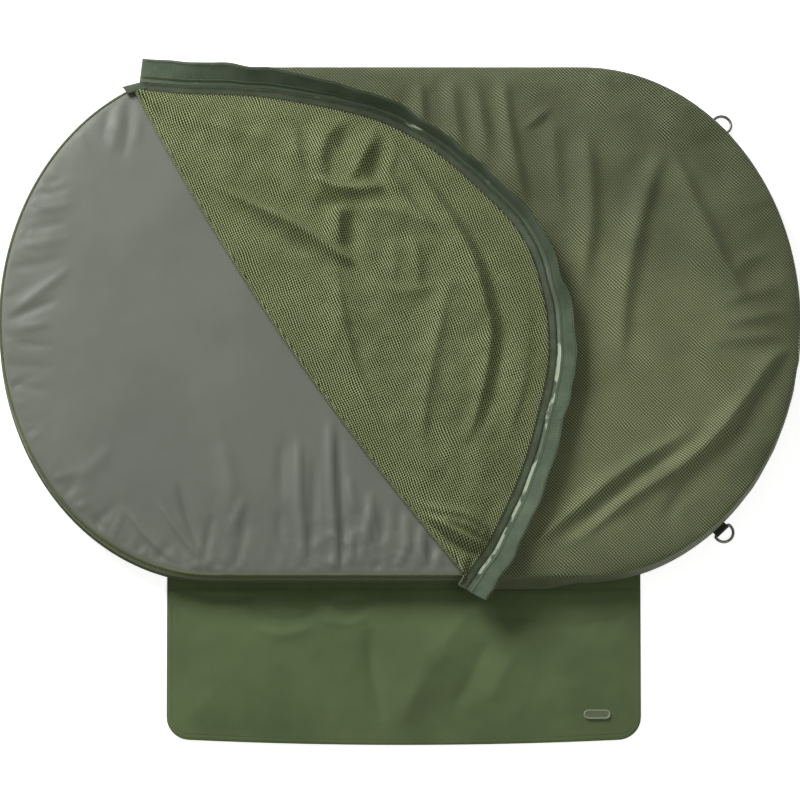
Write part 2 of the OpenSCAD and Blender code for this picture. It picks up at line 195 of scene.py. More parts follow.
# The cover is folded back along this line, from the rear rim to the front one. It bows outwards.
REAR_END_X = HALF_L / 1.5
REAR_END_SHARE = math.sqrt(1 - ((REAR_END_X - STRAIGHT / 2) / END_L) ** 2)
FOLD_REAR = np.array([-REAR_END_X, 0.98 * HALF_W * REAR_END_SHARE])
FOLD_FRONT = np.array([HALF_L / 6, -HALF_W - 5.5])
FOLD_BOW = 22
FOLD_RUN = FOLD_FRONT - FOLD_REAR
FOLD_LENGTH = np.linalg.norm(FOLD_RUN)
FOLD_SIDE = np.array([FOLD_RUN[1], -FOLD_RUN[0]]) / FOLD_LENGTH


# ---------- folds ----------

FOLD_STEPS = 14
# How much wider and higher the mesh's folds stand than they are listed.
FIXED_FULLER, FLAP_FULLER = (1.15, 1.9), (1.4, 2.9)
# Radius of a fold's crest.
CREST_ROUND = 1.6
# How many waves a ripple is made of.
RIPPLE_WAVES = 14


def nearest(x, y, line):
    """Distance from a line of points, the side of it (1 left, -1 right) and the share along it."""
    best, side, share = np.full(np.shape(x), 1e9), np.zeros(np.shape(x)), np.zeros(np.shape(x))
    steps = len(line) - 1
    for k in range(steps):
        (ax, ay), (bx, by) = line[k], line[k + 1]
        dx, dy = bx - ax, by - ay
        t = np.clip(((x - ax) * dx + (y - ay) * dy) / (dx * dx + dy * dy), 0, 1)
        px, py = x - ax - dx * t, y - ay - dy * t
        away = np.hypot(px, py)
        near = away < best
        side = np.where(near, np.sign(dx * py - dy * px), side)
        share = np.where(near, (k + t) / steps, share)
        best = np.where(near, away, best)
    return best, side, share


def fold(x, y, path, width, height, lean):
    """Height that one fold adds at x, y: a ridge along the path, or a hollow if height is below 0.

    It dies away at its ends. lean makes its right side steeper than its left, or the reverse
    below 0.
    """
    away, side, share = nearest(x, y, spline(path, np.linspace(0, 1, FOLD_STEPS + 1)))
    w = width * (1 + lean * side) * (0.55 + 0.45 * np.sin(np.pi * np.clip(share, 0.03, 0.97)))
    rise = height * np.sqrt(np.sin(np.pi * np.clip(share, 0.01, 0.99)))
    crest = np.exp(-(np.hypot(away, CREST_ROUND) - CREST_ROUND) / (0.6 * w))
    return rise * (0.4 * np.exp(-((away / w) ** 2)) + 0.6 * crest)


def folds(x, y, fold_list, fuller=(1, 1)):
    """All the folds of a list together, each listed as its path, width, height and lean."""
    wider, higher = fuller
    return sum(fold(x, y, path, width * wider, height * higher, lean)
               for path, width, height, lean in fold_list)


def ripple(x, y, size, seed):
    """Gentle irregular ripples, about size apart, within about -1 to 1."""
    random = np.random.default_rng(seed)
    total = np.zeros(np.shape(x))
    for _ in range(RIPPLE_WAVES):
        turn = random.uniform(0, math.tau)
        length = size * random.uniform(0.7, 1.6)
        along = (x * math.cos(turn) + y * math.sin(turn)) * math.tau / length
        total = total + np.sin(along + random.uniform(0, math.tau))
    return total / math.sqrt(RIPPLE_WAVES)


def rim_puckers(x, y, count, reach, width, height, seed):
    """Small puckers that run in from the seam, square to the rim."""
    random = np.random.default_rng(seed)
    total = np.zeros(np.shape(x))
    for _ in range(count):
        s = random.uniform(0, rim.length)
        start = rim_at(s, 2.0)
        inwards = -rim.outwards(s)
        turn = random.uniform(-0.45, 0.45)
        ahead = np.array([inwards[0] * math.cos(turn) - inwards[1] * math.sin(turn),
                          inwards[0] * math.sin(turn) + inwards[1] * math.cos(turn)])
        far = start + ahead * reach * random.uniform(0.4, 1.3)
        dx, dy = far - start
        span = dx * dx + dy * dy
        t = ((x - start[0]) * dx + (y - start[1]) * dy) / span
        away = np.abs((x - start[0]) * dy - (y - start[1]) * dx) / math.sqrt(span)
        w = width * random.uniform(0.6, 1.5) * (0.5 + 0.9 * np.clip(t, 0, 1))
        fade = smooth((t + 0.1) / 0.25) * smooth((1 - t) / 0.8)
        total = total + height * random.uniform(-1, 1) * fade * np.exp(-(away / w) ** 2)
    return total


# ---------- making meshes ----------

def flat_grid(cols, rows):
    """A flat grid, and the shares u and v of its corners."""
    bm = bmesh.new()
    bmesh.ops.create_grid(bm, x_segments=cols, y_segments=rows, size=0.5)
    return bm, *(np.array([vert.co[:2] for vert in bm.verts]) + 0.5).T


def move_to(bm, points):
    for vert, point in zip(bm.verts, points * MM):
        vert.co = point


def grid_piece(name, cols, rows, place, lay=None, thickness=0.0, flip=False, merge=False):
    """A piece made from a flat grid: place(u, v) gives its points, and lay(u, v) its cloth map.

    Both are in millimetres. A thickness grows it against its faces' own direction, or along it
    below 0.
    """
    bm, u, v = flat_grid(cols, rows)
    points = place(u, v)
    laid = (lay(u, v) if lay else points[:, :2]) * MM
    cloth_map = bm.loops.layers.uv.new("cloth")
    for face in bm.faces:
        for loop in face.loops:
            loop[cloth_map].uv = laid[loop.vert.index]
    move_to(bm, points)
    if merge:
        bmesh.ops.remove_doubles(bm, verts=bm.verts, dist=0.02 * MM)
        bmesh.ops.dissolve_degenerate(bm, edges=bm.edges, dist=0.01 * MM)
    if flip:
        bmesh.ops.reverse_faces(bm, faces=bm.faces)
    piece = finish_mesh(name, bm)
    if thickness:
        shell = piece.modifiers.new("thickness", "SOLIDIFY")
        shell.thickness = abs(thickness) * MM
        shell.offset = -1 if thickness > 0 else 1
        shell.use_even_offset = False
    return piece


def in_scene(name, data):
    thing = bpy.data.objects.new(name, data)
    bpy.context.scene.collection.objects.link(thing)
    return thing


def finish_mesh(name, bm):
    for face in bm.faces:
        face.smooth = True
    mesh = bpy.data.meshes.new(name)
    bm.to_mesh(mesh)
    bm.free()
    return in_scene(name, mesh)


def three(flat, z):
    """Points from flat places and heights."""
    return columns(flat, np.broadcast_to(z, len(flat)))


def laid_flat(length, width):
    """Cloth map of a strip that is cut straight."""
    return lambda u, v: columns(u * length, v * width)


def add(piece, body, finish, slot, *nodes):
    """Gives a piece its finish and its body, and hides the CAD nodes that it stands for."""
    piece.data.materials.append(finish)
    if body:
        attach(piece, body)
    if nodes:
        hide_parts(*nodes)
    return piece


# ---------- cloth settling ----------

# Frames that a cloth is given to settle, and what it is made of.
SETTLE_FRAMES = 20
CLOTH = dict(
    quality=4, mass=0.25, tension_stiffness=20, compression_stiffness=20, shear_stiffness=8,
    bending_stiffness=1.2, pin_stiffness=2, use_pressure=True, vertex_group_mass="sewn",
    vertex_group_shrink="loose", shrink_min=0.0,
)


def settle(name, low, high, cell, height, sewn, share, growth, pressure, cap):
    """Lets a sewn cloth swell in a simulation, and gives the height that it gains at any x, y.

    height, sewn and share are functions of x and y: where the cloth starts, how firmly it is held
    (from 0 to 1) and how much of the growth it has there. cap is the most that it gains. Sizes are
    in millimetres.
    """
    cols, rows = (round((b - a) / cell) for a, b in zip(low, high))
    bm, u, v = flat_grid(cols, rows)
    x, y = low[0] + (high[0] - low[0]) * u, low[1] + (high[1] - low[1]) * v
    start = height(x, y)
    move_to(bm, columns(x, y, start))
    cloth = finish_mesh(name, bm)
    for group_name, weights in (("sewn", sewn(x, y)), ("loose", share(x, y))):
        group = cloth.vertex_groups.new(name=group_name)
        for index, weight in enumerate(np.round(np.broadcast_to(weights, len(x)), 2)):
            if weight > 0:
                group.add([index], float(weight), "REPLACE")
    swell = cloth.modifiers.new("swell", "CLOTH")
    for setting, value in dict(CLOTH, shrink_max=-growth, uniform_pressure_force=pressure).items():
        setattr(swell.settings, setting, value)
    swell.settings.effector_weights.gravity = 0
    swell.collision_settings.use_collision = False
    scene = bpy.context.scene
    for number in range(1, SETTLE_FRAMES + 1):
        scene.frame_set(number)
    settled = cloth.evaluated_get(bpy.context.evaluated_depsgraph_get())
    gained = np.array([vert.co.z for vert in settled.data.vertices]) / MM - start
    scene.frame_set(1)
    bpy.data.objects.remove(cloth)
    gained = cap * np.tanh(gained / cap)
    order = np.lexsort((np.round(u * cols), np.round(v * rows)))
    field = gained[order].reshape(rows + 1, cols + 1)

    def gain(x, y):
        across = np.clip((x - low[0]) / (high[0] - low[0]) * cols, 0, cols - 1e-6)
        up = np.clip((y - low[1]) / (high[1] - low[1]) * rows, 0, rows - 1e-6)
        i, j = across.astype(int), up.astype(int)
        s, t = across - i, up - j
        return ((field[j, i] * (1 - s) + field[j, i + 1] * s) * (1 - t)
                + (field[j + 1, i] * (1 - s) + field[j + 1, i + 1] * s) * t)

    return gain


# ---------- finishes ----------

class Finish:
    """A material whose colour, relief and gloss come from nodes."""

    def __init__(self, name, roughness=0.7, **sockets):
        self.material = bpy.data.materials.new(name)
        self.material.use_nodes = True
        self.tree = self.material.node_tree
        self.shader = self.tree.nodes["Principled BSDF"]
        self.shader.inputs["Roughness"].default_value = roughness
        for socket, value in sockets.items():
            self.shader.inputs[socket.replace("_", " ")].default_value = value

    def node(self, kind, inputs=(), **settings):
        made = self.tree.nodes.new("ShaderNode" + kind)
        for key, value in settings.items():
            setattr(made, key, value)
        for key, value in dict(inputs).items():
            self.feed(made.inputs[key], value)
        return made

    def feed(self, socket, value):
        if isinstance(value, bpy.types.NodeSocket):
            self.tree.links.new(value, socket)
        else:
            socket.default_value = value

    def mapped(self, where, scale=1.0, turn=0.0):
        """Places scaled, and turned about Z."""
        return self.node("Mapping", {"Vector": where, "Scale": np.broadcast_to(scale, 3),
                                     "Rotation": (0, 0, turn)}).outputs[0]

    def place(self):
        """Object coordinates, in metres."""
        return self.mapped(self.node("TexCoord").outputs["Object"])

    def cloth(self, scale=1.0):
        """The piece's own cloth map, in metres."""
        return self.mapped(self.node("UVMap", uv_map="cloth").outputs["UV"], scale)

    def maths(self, operation, a, b=0.0, c=0.0):
        return self.node("Math", {0: a, 1: b, 2: c}, operation=operation).outputs[0]

    def vector(self, operation, *values):
        made = self.node("VectorMath", dict(enumerate(values)), operation=operation)
        return made.outputs["Value" if operation in ("LENGTH", "DISTANCE") else 0]

    def noise(self, where, scale, detail, roughness=0.55):
        return self.node("TexNoise", {"Vector": where, "Scale": scale, "Detail": detail,
                                      "Roughness": roughness}).outputs[0]

    def patches(self, scale, detail, where=None, low=0.3, high=0.7, to_low=0.0, to_high=1.0):
        """Soft patches from 0 to 1."""
        noise = self.noise(where or self.place(), scale, detail)
        return self.span(noise, low, high, to_low, to_high)

    def span(self, value, low, high, to_low=0.0, to_high=1.0, kind="SMOOTHSTEP"):
        return self.node("MapRange", {"Value": value, "From Min": low, "From Max": high,
                                      "To Min": to_low, "To Max": to_high},
                         interpolation_type=kind).outputs[0]

    def mix(self, share, a, b):
        made = self.node("Mix", data_type="RGBA")
        self.feed(made.inputs[0], share)
        self.feed(made.inputs[6], a)
        self.feed(made.inputs[7], b)
        return made.outputs[2]

    def split(self, where):
        return self.node("SeparateXYZ", {0: where}).outputs

    def ridges(self, value, pitch):
        """A wave from 0 to 1 with that pitch, in metres."""
        turn = self.maths("MULTIPLY", value, math.tau / pitch)
        return self.maths("MULTIPLY_ADD", self.maths("SINE", turn), 0.5, 0.5)

    def colour(self, value):
        self.feed(self.shader.inputs["Base Color"], value)

    def relief(self, height, depth, strength):
        """Surface relief: height from 0 to 1 stands for depth in millimetres."""
        bump = self.node("Bump", {"Height": height, "Distance": depth * MM, "Strength": strength})
        self.feed(self.shader.inputs["Normal"], bump.outputs[0])

    def gloss(self, value):
        self.feed(self.shader.inputs["Roughness"], value)


def rgb(red, green, blue):
    """Linear colour from the 0 to 255 values of a screen."""
    return (*(((c / 255 + 0.055) / 1.055) ** 2.4 for c in (red, green, blue)), 1.0)


def coated_top():
    """Grey coated polyester with a low satin sheen and a very fine weave."""
    f = Finish("coated_top", roughness=0.52, Sheen_Weight=0.1, Sheen_Roughness=0.4,
               Specular_IOR_Level=0.5)
    here = f.place()
    f.colour(f.mix(f.patches(9, 4, here, 0.35, 0.65), rgb(110, 114, 103), rgb(115, 119, 107)))
    x, y, _ = f.split(here)
    weave = f.maths("MULTIPLY", f.ridges(x, 0.0011), f.ridges(y, 0.0011))
    f.relief(weave, 0.05, 0.5)
    f.gloss(f.patches(60, 3, here, to_low=0.46, to_high=0.58))
    return f.material


# Distance between the mesh's holes, in metres, and how far their rows are turned.
MESH_PITCH, MESH_TURN = 0.003, math.radians(45)


def mesh_cloth(name, thread, shade, hole, painted_light_at=None):
    """Knitted mesh: holes in a square lattice that is turned against the cloth's edges.

    Each thread has a pale crown and flanks in painted shade: a dark ring round each hole.
    Given a place, painted light makes the cloth palest round it, painted shade darker at the rim.
    """
    f = Finish(name, roughness=0.7, Sheen_Weight=0.15, Sheen_Roughness=0.5)
    where = f.cloth()
    sway = f.node("TexNoise", {"Vector": where, "Scale": 24.0, "Detail": 2.0}).outputs["Color"]
    sway = f.vector("MULTIPLY", f.vector("SUBTRACT", sway, (0.5, 0.5, 0.5)), (0.007, 0.007, 0))
    where = f.mapped(f.vector("ADD", where, sway), 1 / MESH_PITCH, MESH_TURN)
    off = f.vector("SUBTRACT", f.vector("FRACTION", where), (0.5, 0.5, 0))
    away = f.vector("LENGTH", f.vector("MULTIPLY", off, (0.9, 1.1, 0)))
    f.feed(f.shader.inputs["Alpha"], f.span(away, hole - 0.04, hole + 0.04))
    patch = f.patches(14, 3, f.cloth())
    if painted_light_at:
        # Painted light round the given place, fading to painted shade towards the rim.
        pale = f.span(f.vector("DISTANCE", f.place(), painted_light_at), 0.14, 0.3, 1, 0)
        patch = f.maths("MULTIPLY_ADD", pale, 0.65, f.maths("MULTIPLY", patch, 0.35))
    crown = f.mix(patch, shade, thread)
    # Painted shade: the threads' flanks are coloured near black.
    painted_flank_shade = tuple(0.08 * c for c in shade[:3]) + (1.0,)
    f.colour(f.mix(f.span(away, hole + 0.11, hole + 0.25, kind="LINEAR"), painted_flank_shade, crown))
    f.relief(f.span(away, hole, 0.62), 0.3, 0.8)
    return f.material


def woven(name, light, dark, pitch):
    """Plain matt polyester with a fine diagonal weave."""
    f = Finish(name, roughness=0.75, Sheen_Weight=0.2, Sheen_Roughness=0.5)
    here = f.place()
    x, y, z = f.split(here)
    beside = f.maths("ADD", y, z)
    across, along = f.maths("ADD", x, beside), f.maths("SUBTRACT", x, beside)
    weave = f.maths("MULTIPLY", f.ridges(across, pitch), f.ridges(along, pitch * 1.7))
    mottle = f.maths("MULTIPLY", f.patches(11, 4, here), 0.6)
    f.colour(f.mix(f.maths("MULTIPLY_ADD", weave, 0.35, mottle), dark, light))
    f.relief(weave, 0.12, 0.6)
    return f.material


def ribbed_tape(name, light, dark, pitch, width):
    """Ribbed webbing: ribs run across, with a tight edge along each side."""
    f = Finish(name, roughness=0.6, Sheen_Weight=0.2, Sheen_Roughness=0.4)
    along, across, _ = f.split(f.cloth())
    rib = f.ridges(along, pitch)
    edge = f.span(f.maths("ABSOLUTE", f.maths("SUBTRACT", across, width / 2 * MM)),
                  (width / 2 - 1.8) * MM, (width / 2 - 1.2) * MM)
    patch = f.maths("MULTIPLY", f.patches(35, 4, f.cloth()), 0.5)
    tone = f.mix(f.maths("MULTIPLY_ADD", rib, 0.45, patch), dark, light)
    f.colour(f.mix(f.maths("MULTIPLY", edge, 0.5), tone, dark))
    f.relief(f.maths("MULTIPLY", rib, f.maths("SUBTRACT", 1.0, edge)), 0.35, 0.8)
    return f.material


def hook_finish():
    """Hook tape: a dull green bed, with painted highlights as pale glossy lengths."""
    f = Finish("hook_tape_painted_glints", roughness=0.35, Specular_IOR_Level=0.6)
    along, across, _ = f.split(f.cloth())
    # Painted highlights: noise, with more along one stretch of the tape, picks out the pale
    # lengths.
    glint_noise = f.noise(f.cloth((1.0, 3.0, 1.0)), 26, 3)
    bare = f.maths("MULTIPLY", f.span(along, 0.655, 0.70), f.span(along, 1.03, 1.06, 1.0, 0.0))
    patch = f.span(f.maths("MULTIPLY_ADD", bare, 0.17, glint_noise), 0.60, 0.66)
    f.colour(f.mix(patch, rgb(72, 88, 64), rgb(172, 188, 158)))
    hooks = f.maths("MULTIPLY", f.ridges(along, 0.0016), f.ridges(across, 0.0016))
    f.relief(hooks, 0.3, 0.5)
    return f.material


def corded():
    """Piping cloth: a slanting wrap of fine threads."""
    f = Finish("corded_piping", roughness=0.65, Sheen_Weight=0.25, Sheen_Roughness=0.4)
    along, across, _ = f.split(f.cloth())
    wrap = f.ridges(f.maths("ADD", along, across), 0.0016)
    patch = f.maths("MULTIPLY", f.patches(30, 3), 0.4)
    f.colour(f.mix(f.maths("MULTIPLY_ADD", wrap, 0.4, patch), rgb(76, 85, 50), rgb(116, 126, 80)))
    f.relief(wrap, 0.15, 0.6)
    return f.material


def open_cell_foam():
    f = Finish("open_cell_foam", roughness=0.95)
    here = f.place()
    cells = f.node("TexVoronoi", {"Vector": here, "Scale": 900.0}).outputs["Distance"]
    f.colour(f.mix(f.span(cells, 0.1, 0.7), rgb(196, 188, 150), rgb(222, 214, 178)))
    f.relief(cells, 0.4, 0.7)
    return f.material


def gunmetal():
    f = Finish("gunmetal_wire", roughness=0.38, Metallic=1.0)
    here = f.place()
    f.colour(f.mix(f.patches(260, 4, here, 0.35), rgb(128, 130, 120), rgb(158, 160, 148)))
    f.gloss(f.patches(700, 3, here, to_low=0.3, to_high=0.46))
    f.relief(f.noise(here, 1500, 2), 0.03, 0.4)
    return f.material


def grained(name, light, dark, grain, roughness, relief=None, **sockets):
    """Rubber, fuzz or thread: a fine grain in two tones, with relief if a depth is given."""
    f = Finish(name, roughness=roughness, **sockets)
    grain = f.noise(f.place(), *grain)
    f.colour(f.mix(f.span(grain, 0.3, 0.7), dark, light))
    if relief:
        f.relief(grain, *relief)
    return f.material


TOP = coated_top()
# The fixed mesh gets painted light on its right part and painted shade towards its rim.
FIXED_MESH = mesh_cloth("fixed_mesh_cloth", rgb(171, 182, 128), rgb(124, 133, 90), hole=0.25,
                        painted_light_at=(0.235, -0.12, 0.05))
FLAP_MESH = mesh_cloth("flap_mesh_cloth", rgb(184, 197, 132), rgb(165, 178, 114), hole=0.29)
WALL = woven("olive_wall_cloth", rgb(102, 111, 74), rgb(80, 88, 56), 0.0012)
BASE = woven("olive_base_cloth", rgb(72, 80, 54), rgb(54, 61, 40), 0.002)
KNEELER = woven("kneeler_cloth", rgb(96, 114, 68), rgb(79, 96, 54), 0.0013)
WEBBING = ribbed_tape("ribbed_webbing", rgb(98, 115, 90), rgb(64, 79, 58), 0.0019, WEBBING_W)
BINDING = ribbed_tape("dark_binding", rgb(86, 99, 68), rgb(52, 61, 40), 0.0014, BINDING_W)
HOOK = hook_finish()
LOOP = grained("loop_tape_finish", rgb(118, 128, 82), rgb(88, 97, 58), (900, 4, 0.7), 0.95,
               (0.5, 0.8), Sheen_Weight=0.15, Sheen_Roughness=0.5)
PIPING = corded()
FOAM = open_cell_foam()
GUNMETAL = gunmetal()
TAB = ribbed_tape("tab_webbing", rgb(52, 56, 42), rgb(34, 38, 28), 0.0016, TAB_W)
BADGE, BADGE_RIM = (
    grained(name, rgb(*light), rgb(*dark), (1200, 3), roughness, (0.05, 0.5))
    for name, light, dark, roughness in (("badge_rubber", (104, 114, 88), (92, 101, 78), 0.55),
                                         ("badge_rim", (146, 156, 128), (132, 142, 116), 0.45))
)
THREAD, DARK_THREAD = (
    grained(name, rgb(*light), rgb(*dark), (1600, 2), 0.55, Sheen_Weight=0.3, Sheen_Roughness=0.3)
    for name, light, dark in (("olive_thread", (112, 124, 84), (88, 98, 64)),
                              ("dark_thread", (60, 66, 44), (44, 49, 32)))
)


# ---------- padded mat ----------

# Wrinkles of the bare top: path, width, height and lean, as every list of folds has them.
TOP_WRINKLES = [
    ([(-126, -156), (-123, -240), (-118, -320)], 5, 3.2, -0.4),
    ([(-107, -176), (-107, -245), (-109, -316)], 4.5, -2.4, 0),
    ([(-86, -134), (-83, -215), (-79, -318)], 5.5, 3.4, -0.4),
    ([(-75, -150), (-72, -237), (-69, -321)], 4, -3.0, 0),
    ([(-62, -206), (-58, -236), (-54, -250)], 6, 1.8, 0),
    ([(-33, -226), (-36, -260), (-49, -318)], 4.5, 3.0, -0.3),
    ([(-57, -272), (-59, -295), (-62, -321)], 3, 2.6, -0.3),
    ([(-22, -238), (-20, -268), (-26, -306)], 4, -2.2, 0),
    ([(2, -240), (0, -262), (-4, -290)], 3.5, -1.8, 0),
    ([(12, -256), (11, -292), (-1, -319)], 3.5, 2.8, -0.3),
    ([(30, -266), (29, -296), (28, -321)], 4.5, 2.8, -0.3),
    ([(40, -278), (40, -300), (38, -321)], 3.5, -2.4, 0),
    ([(52, -296), (50, -308), (50, -322)], 3.5, 2.2, -0.3),
    ([(-146, -160), (-148, -200), (-147, -236)], 7, -1.8, 0),
    ([(-150, -250), (-149, -272), (-146, -296)], 3.5, -1.8, 0),
    ([(-222, -160), (-212, -212), (-214, -252)], 18, 1.8, 0),
    ([(-194, -232), (-203, -256), (-211, -280)], 5, 2.0, -0.2),
    ([(-190, -246), (-196, -282), (-203, -316)], 4.5, -2.0, 0),
    ([(-234, -255), (-240, -286), (-246, -316)], 4, -2.2, 0),
    ([(-277, -216), (-264, -258), (-250, -296)], 5.5, -2.4, 0),
    ([(-302, -238), (-270, -284), (-234, -324)], 4, 2.2, 0.2),
    ([(-342, -248), (-312, -286), (-279, -314)], 4.5, 1.8, 0.2),
    ([(-406, -212), (-388, -194), (-362, -166)], 14, 0.9, 0),
    ([(-352, 288), (-356, 255), (-362, 220)], 9, 1.0, 0),
    ([(-341, 288), (-342, 252), (-347, 213)], 6, -1.1, 0),
    ([(-327, 274), (-329, 254), (-332, 228)], 6, 0.8, 0),
    ([(-366, 280), (-369, 260), (-373, 238)], 6, -0.7, 0),
    ([(-450, 180), (-438, 181), (-424, 186)], 5, -0.7, 0),
    ([(-454, 165), (-438, 167), (-416, 172)], 5, -0.6, 0),
    ([(-462, 143), (-440, 147), (-412, 151)], 7, 0.7, 0),
    ([(-470, 118), (-446, 122), (-420, 127)], 7, -0.6, 0),
    ([(-476, 96), (-450, 101), (-414, 107)], 8, 0.6, 0),
    ([(-484, 68), (-456, 73), (-424, 81)], 10, -0.7, 0),
    ([(-490, 8), (-456, 34), (-414, 68)], 9, 1.1, 0),
    ([(-494, 0), (-466, 12), (-430, 26)], 7, -1.2, 0),
    ([(-493, -13), (-470, -10), (-438, -4)], 5, 0.8, 0),
    ([(-491, -28), (-466, -32), (-436, -34)], 5, -0.7, 0),
    ([(-486, -58), (-462, -60), (-436, -62)], 6, -0.5, 0),
    ([(-480, -84), (-458, -88), (-440, -94)], 6, -0.5, 0),
]
TOP_FULLER = (0.9, 1.6)
PUCKER_SEED = 5


def pad_z(x, y):
    """Height of the padded top, with a rounder shoulder than a plain crown."""
    q = np.minimum(rim_share(x, y), 1)
    crown = CROWN * (0.55 * (1 - q**4) + 0.45 * (1 - q**4) ** 0.5)
    return SEAM_Z + SKIN + crown


def beyond_fold(x, y):
    """How far a place lies from the fold line, on its bare side."""
    return (np.stack([x, y], axis=-1) - FOLD_REAR) @ FOLD_SIDE


def top_held(x, y):
    """1 in the seam and under the mesh, 0 where the top is free to swell."""
    seam, covered = rim_share(x, y) - 0.975, -beyond_fold(x, y) - 20
    return np.clip(smooth(seam / 0.02) + smooth(covered / 20), 0, 1)


TOP_GAIN = settle(
    "top_settling", (-HALF_L - 6, -HALF_W - 5), (110, HALF_W + 5), cell=6,
    height=lambda x, y: pad_z(x, y) + 0.35 * ripple(x, y, 60, 3) + 0.25 * ripple(x, y, 24, 4),
    sewn=top_held, share=lambda x, y: 0.05 + 0.95 * smooth((rim_share(x, y) - 0.78) / 0.14),
    growth=0.035, pressure=0.3, cap=6,
)


def wrinkled_z(x, y):
    """Height of the grey top with its wrinkles, which lie flat under the mesh."""
    q = np.minimum(rim_share(x, y), 1)
    inside = smooth((1 - q) / 0.03)
    rise = folds(x, y, TOP_WRINKLES, TOP_FULLER)
    rise = rise + 0.3 * ripple(x, y, 150, 3) + 0.07 * ripple(x, y, 45, 4)
    # The top is puckered most along its front.
    front = 0.4 + 0.6 * smooth((-y - 100) / 160)
    rise = rise + front * rim_puckers(x, y, 360, 50, 3.6, 2.5, PUCKER_SEED)
    crumpled = smooth((-y - 225) / 70) * smooth((x + 250) / 180)
    coarse, fine = np.abs(ripple(x, 0.7 * y, 34, 33)), np.abs(ripple(x, 0.8 * y, 19, 34))
    rise = rise - crumpled * (0.9 * coarse - 0.6 * fine)
    rise = rise + (0.25 + 0.6 * smooth((q - 0.55) / 0.3)) * (0.3 + 0.7 * front) * TOP_GAIN(x, y)
    bare = 0.1 + 0.9 * smooth((beyond_fold(x, y) + 10) / 40)
    return pad_z(x, y) + rise * inside * bare


def disc(u, v, edge, crowd=1.25):
    """Places of a whole sheet: u runs round the rim, v from the long axis to edge past the rim."""
    s, share = u * rim.length, 1 - (1 - v) ** crowd
    out = edge * smooth((share - 0.9) / 0.1)
    return from_axis(s, share) + rim.outwards(s) * out[:, None]


def top_points(u, v):
    flat = disc(u, v, PIPING_R * 0.6)
    return three(flat, wrinkled_z(*flat.T))


def base_points(u, v):
    return three(disc(u, v, 2 * PIPING_R), 0.0)


# How far the wall bellies out between its seams.
WALL_BELLY = 1.6


def wall_points(u, v):
    s = u * rim.length
    belly = np.sin(np.pi * v) * (WALL_BELLY + 0.35 * ripple(s, v * 60, 40, 8))
    return three(rim_at(s, belly + 0.2), SKIN + (SEAM_Z - SKIN) * v)


def make_piping(node, z):
    """A round cord that is sewn into a seam at height z, right round the rim."""
    def place(u, v):
        a = v * math.tau
        return three(rim_at(u * rim.length, PIPING_R * (1 + np.cos(a))), z + PIPING_R * np.sin(a))

    lay = laid_flat(rim.length, math.tau * PIPING_R)
    add(grid_piece(f"{node}_cord", 620, 12, place, lay, merge=True), "mat", PIPING, "piping", node)


padded_top = grid_piece("padded_top", 560, 84, top_points, thickness=SKIN, merge=True, flip=True)
add(padded_top, "mat", TOP, "padded_top", "top_sheet")

wall_lay = laid_flat(rim.length, SEAM_Z - SKIN)
side_cloth = grid_piece("side_wall_cloth", 480, 8, wall_points, wall_lay, SKIN, merge=True)
add(side_cloth, "mat", WALL, "olive_fabric", "side_wall")

base_cloth = grid_piece("base_cloth", 360, 30, base_points, thickness=SKIN, merge=True)
add(base_cloth, "mat", BASE, "olive_fabric", "base_sheet")

make_piping("top_piping", SEAM_Z + 0.4)
make_piping("base_piping", BASE_PIPING_Z)


# ---------- mesh cover ----------

# The roll along the fold line stands this far out and this high.
ROLL_OUT, ROLL_HIGH = 3.2, 4.4
# Cloth gathered in the roll at its ends, which opens out when the flap is closed.
ROLL_SPARE = 34

# The fixed mesh is sewn down from here, on the rim, round the right end.
SEWN_FROM = rim_distance(FOLD_REAR[0] + 16, HALF_W)
SEWN_TO = rim_distance(FOLD_FRONT[0] + 16, -HALF_W)
SEWN_RUN = SEWN_FROM + rim.length - SEWN_TO

# Free edge of the folded-back flap, as shares of half the mat's length and of half its width.
FREE_EDGE = np.array([
    (-0.648, 1.041), (-0.35, 0.985), (-0.048, 0.861), (0.184, 0.617), (0.366, 0.307),
    (0.442, -0.09), (0.41, -0.444), (0.31, -0.886), (0.218, -1.118),
]) * (HALF_L, HALF_W)
# How far the webbing leans there, in degrees: it stands up, with its free edge the highest.
LEANS = 84 * np.array([0.06, 0.55, 0.88, 1, 0.89, 0.55, 0.52, 0.36, 0.18])[:, None]
INNER_LEAN = 0.25

# Folds of the fixed mesh and of the flap.
FIXED_FOLDS = [
    ([(67, 310), (72, 262), (85, 187)], 8, 4, -0.2),
    ([(26, 312), (29, 278), (32, 249)], 6, 4, -0.2),
    ([(46, 312), (50, 280), (56, 250)], 6, -3, 0),
    ([(96, 314), (104, 262), (112, 215)], 7, 4, -0.2),
    ([(133, 314), (139, 241), (150, 187), (161, 140)], 9, 6, -0.3),
    ([(118, 312), (124, 262), (134, 205)], 7, -3, 0),
    ([(158, 249), (174, 262), (189, 276)], 6, 3, 0.2),
    ([(195, 262), (196, 215), (203, 145)], 9, 3.5, -0.2),
    ([(238, 240), (242, 137), (232, 50)], 12, 6, -0.3),
    ([(330, 215), (303, 128), (286, 40), (279, -50)], 13, 6.5, -0.3),
    ([(350, 212), (380, 138), (411, 70), (440, 22)], 11, 5, -0.3),
    ([(372, -142), (288, -194), (221, -249), (172, -290)], 10, 4.5, -0.2),
    ([(384, -152), (312, -199), (240, -252), (196, -292)], 8, -3, 0),
    ([(492, -40), (469, -54), (434, -105), (406, -144), (355, -192), (295, -230), (230, -285)],
     12, 6.5, -0.2),
    ([(486, -52), (462, -98), (430, -146), (394, -189), (348, -237), (318, -293)], 9, -3.5, 0),
    ([(486, -20), (452, -24), (400, -30)], 7, 2.5, 0),
    ([(488, 12), (452, 2), (408, -6)], 7, 2.5, 0),
    ([(484, 48), (448, 34), (404, 22)], 7, 2.2, 0),
    ([(474, 92), (440, 78), (420, 60)], 7, 2, 0),
]
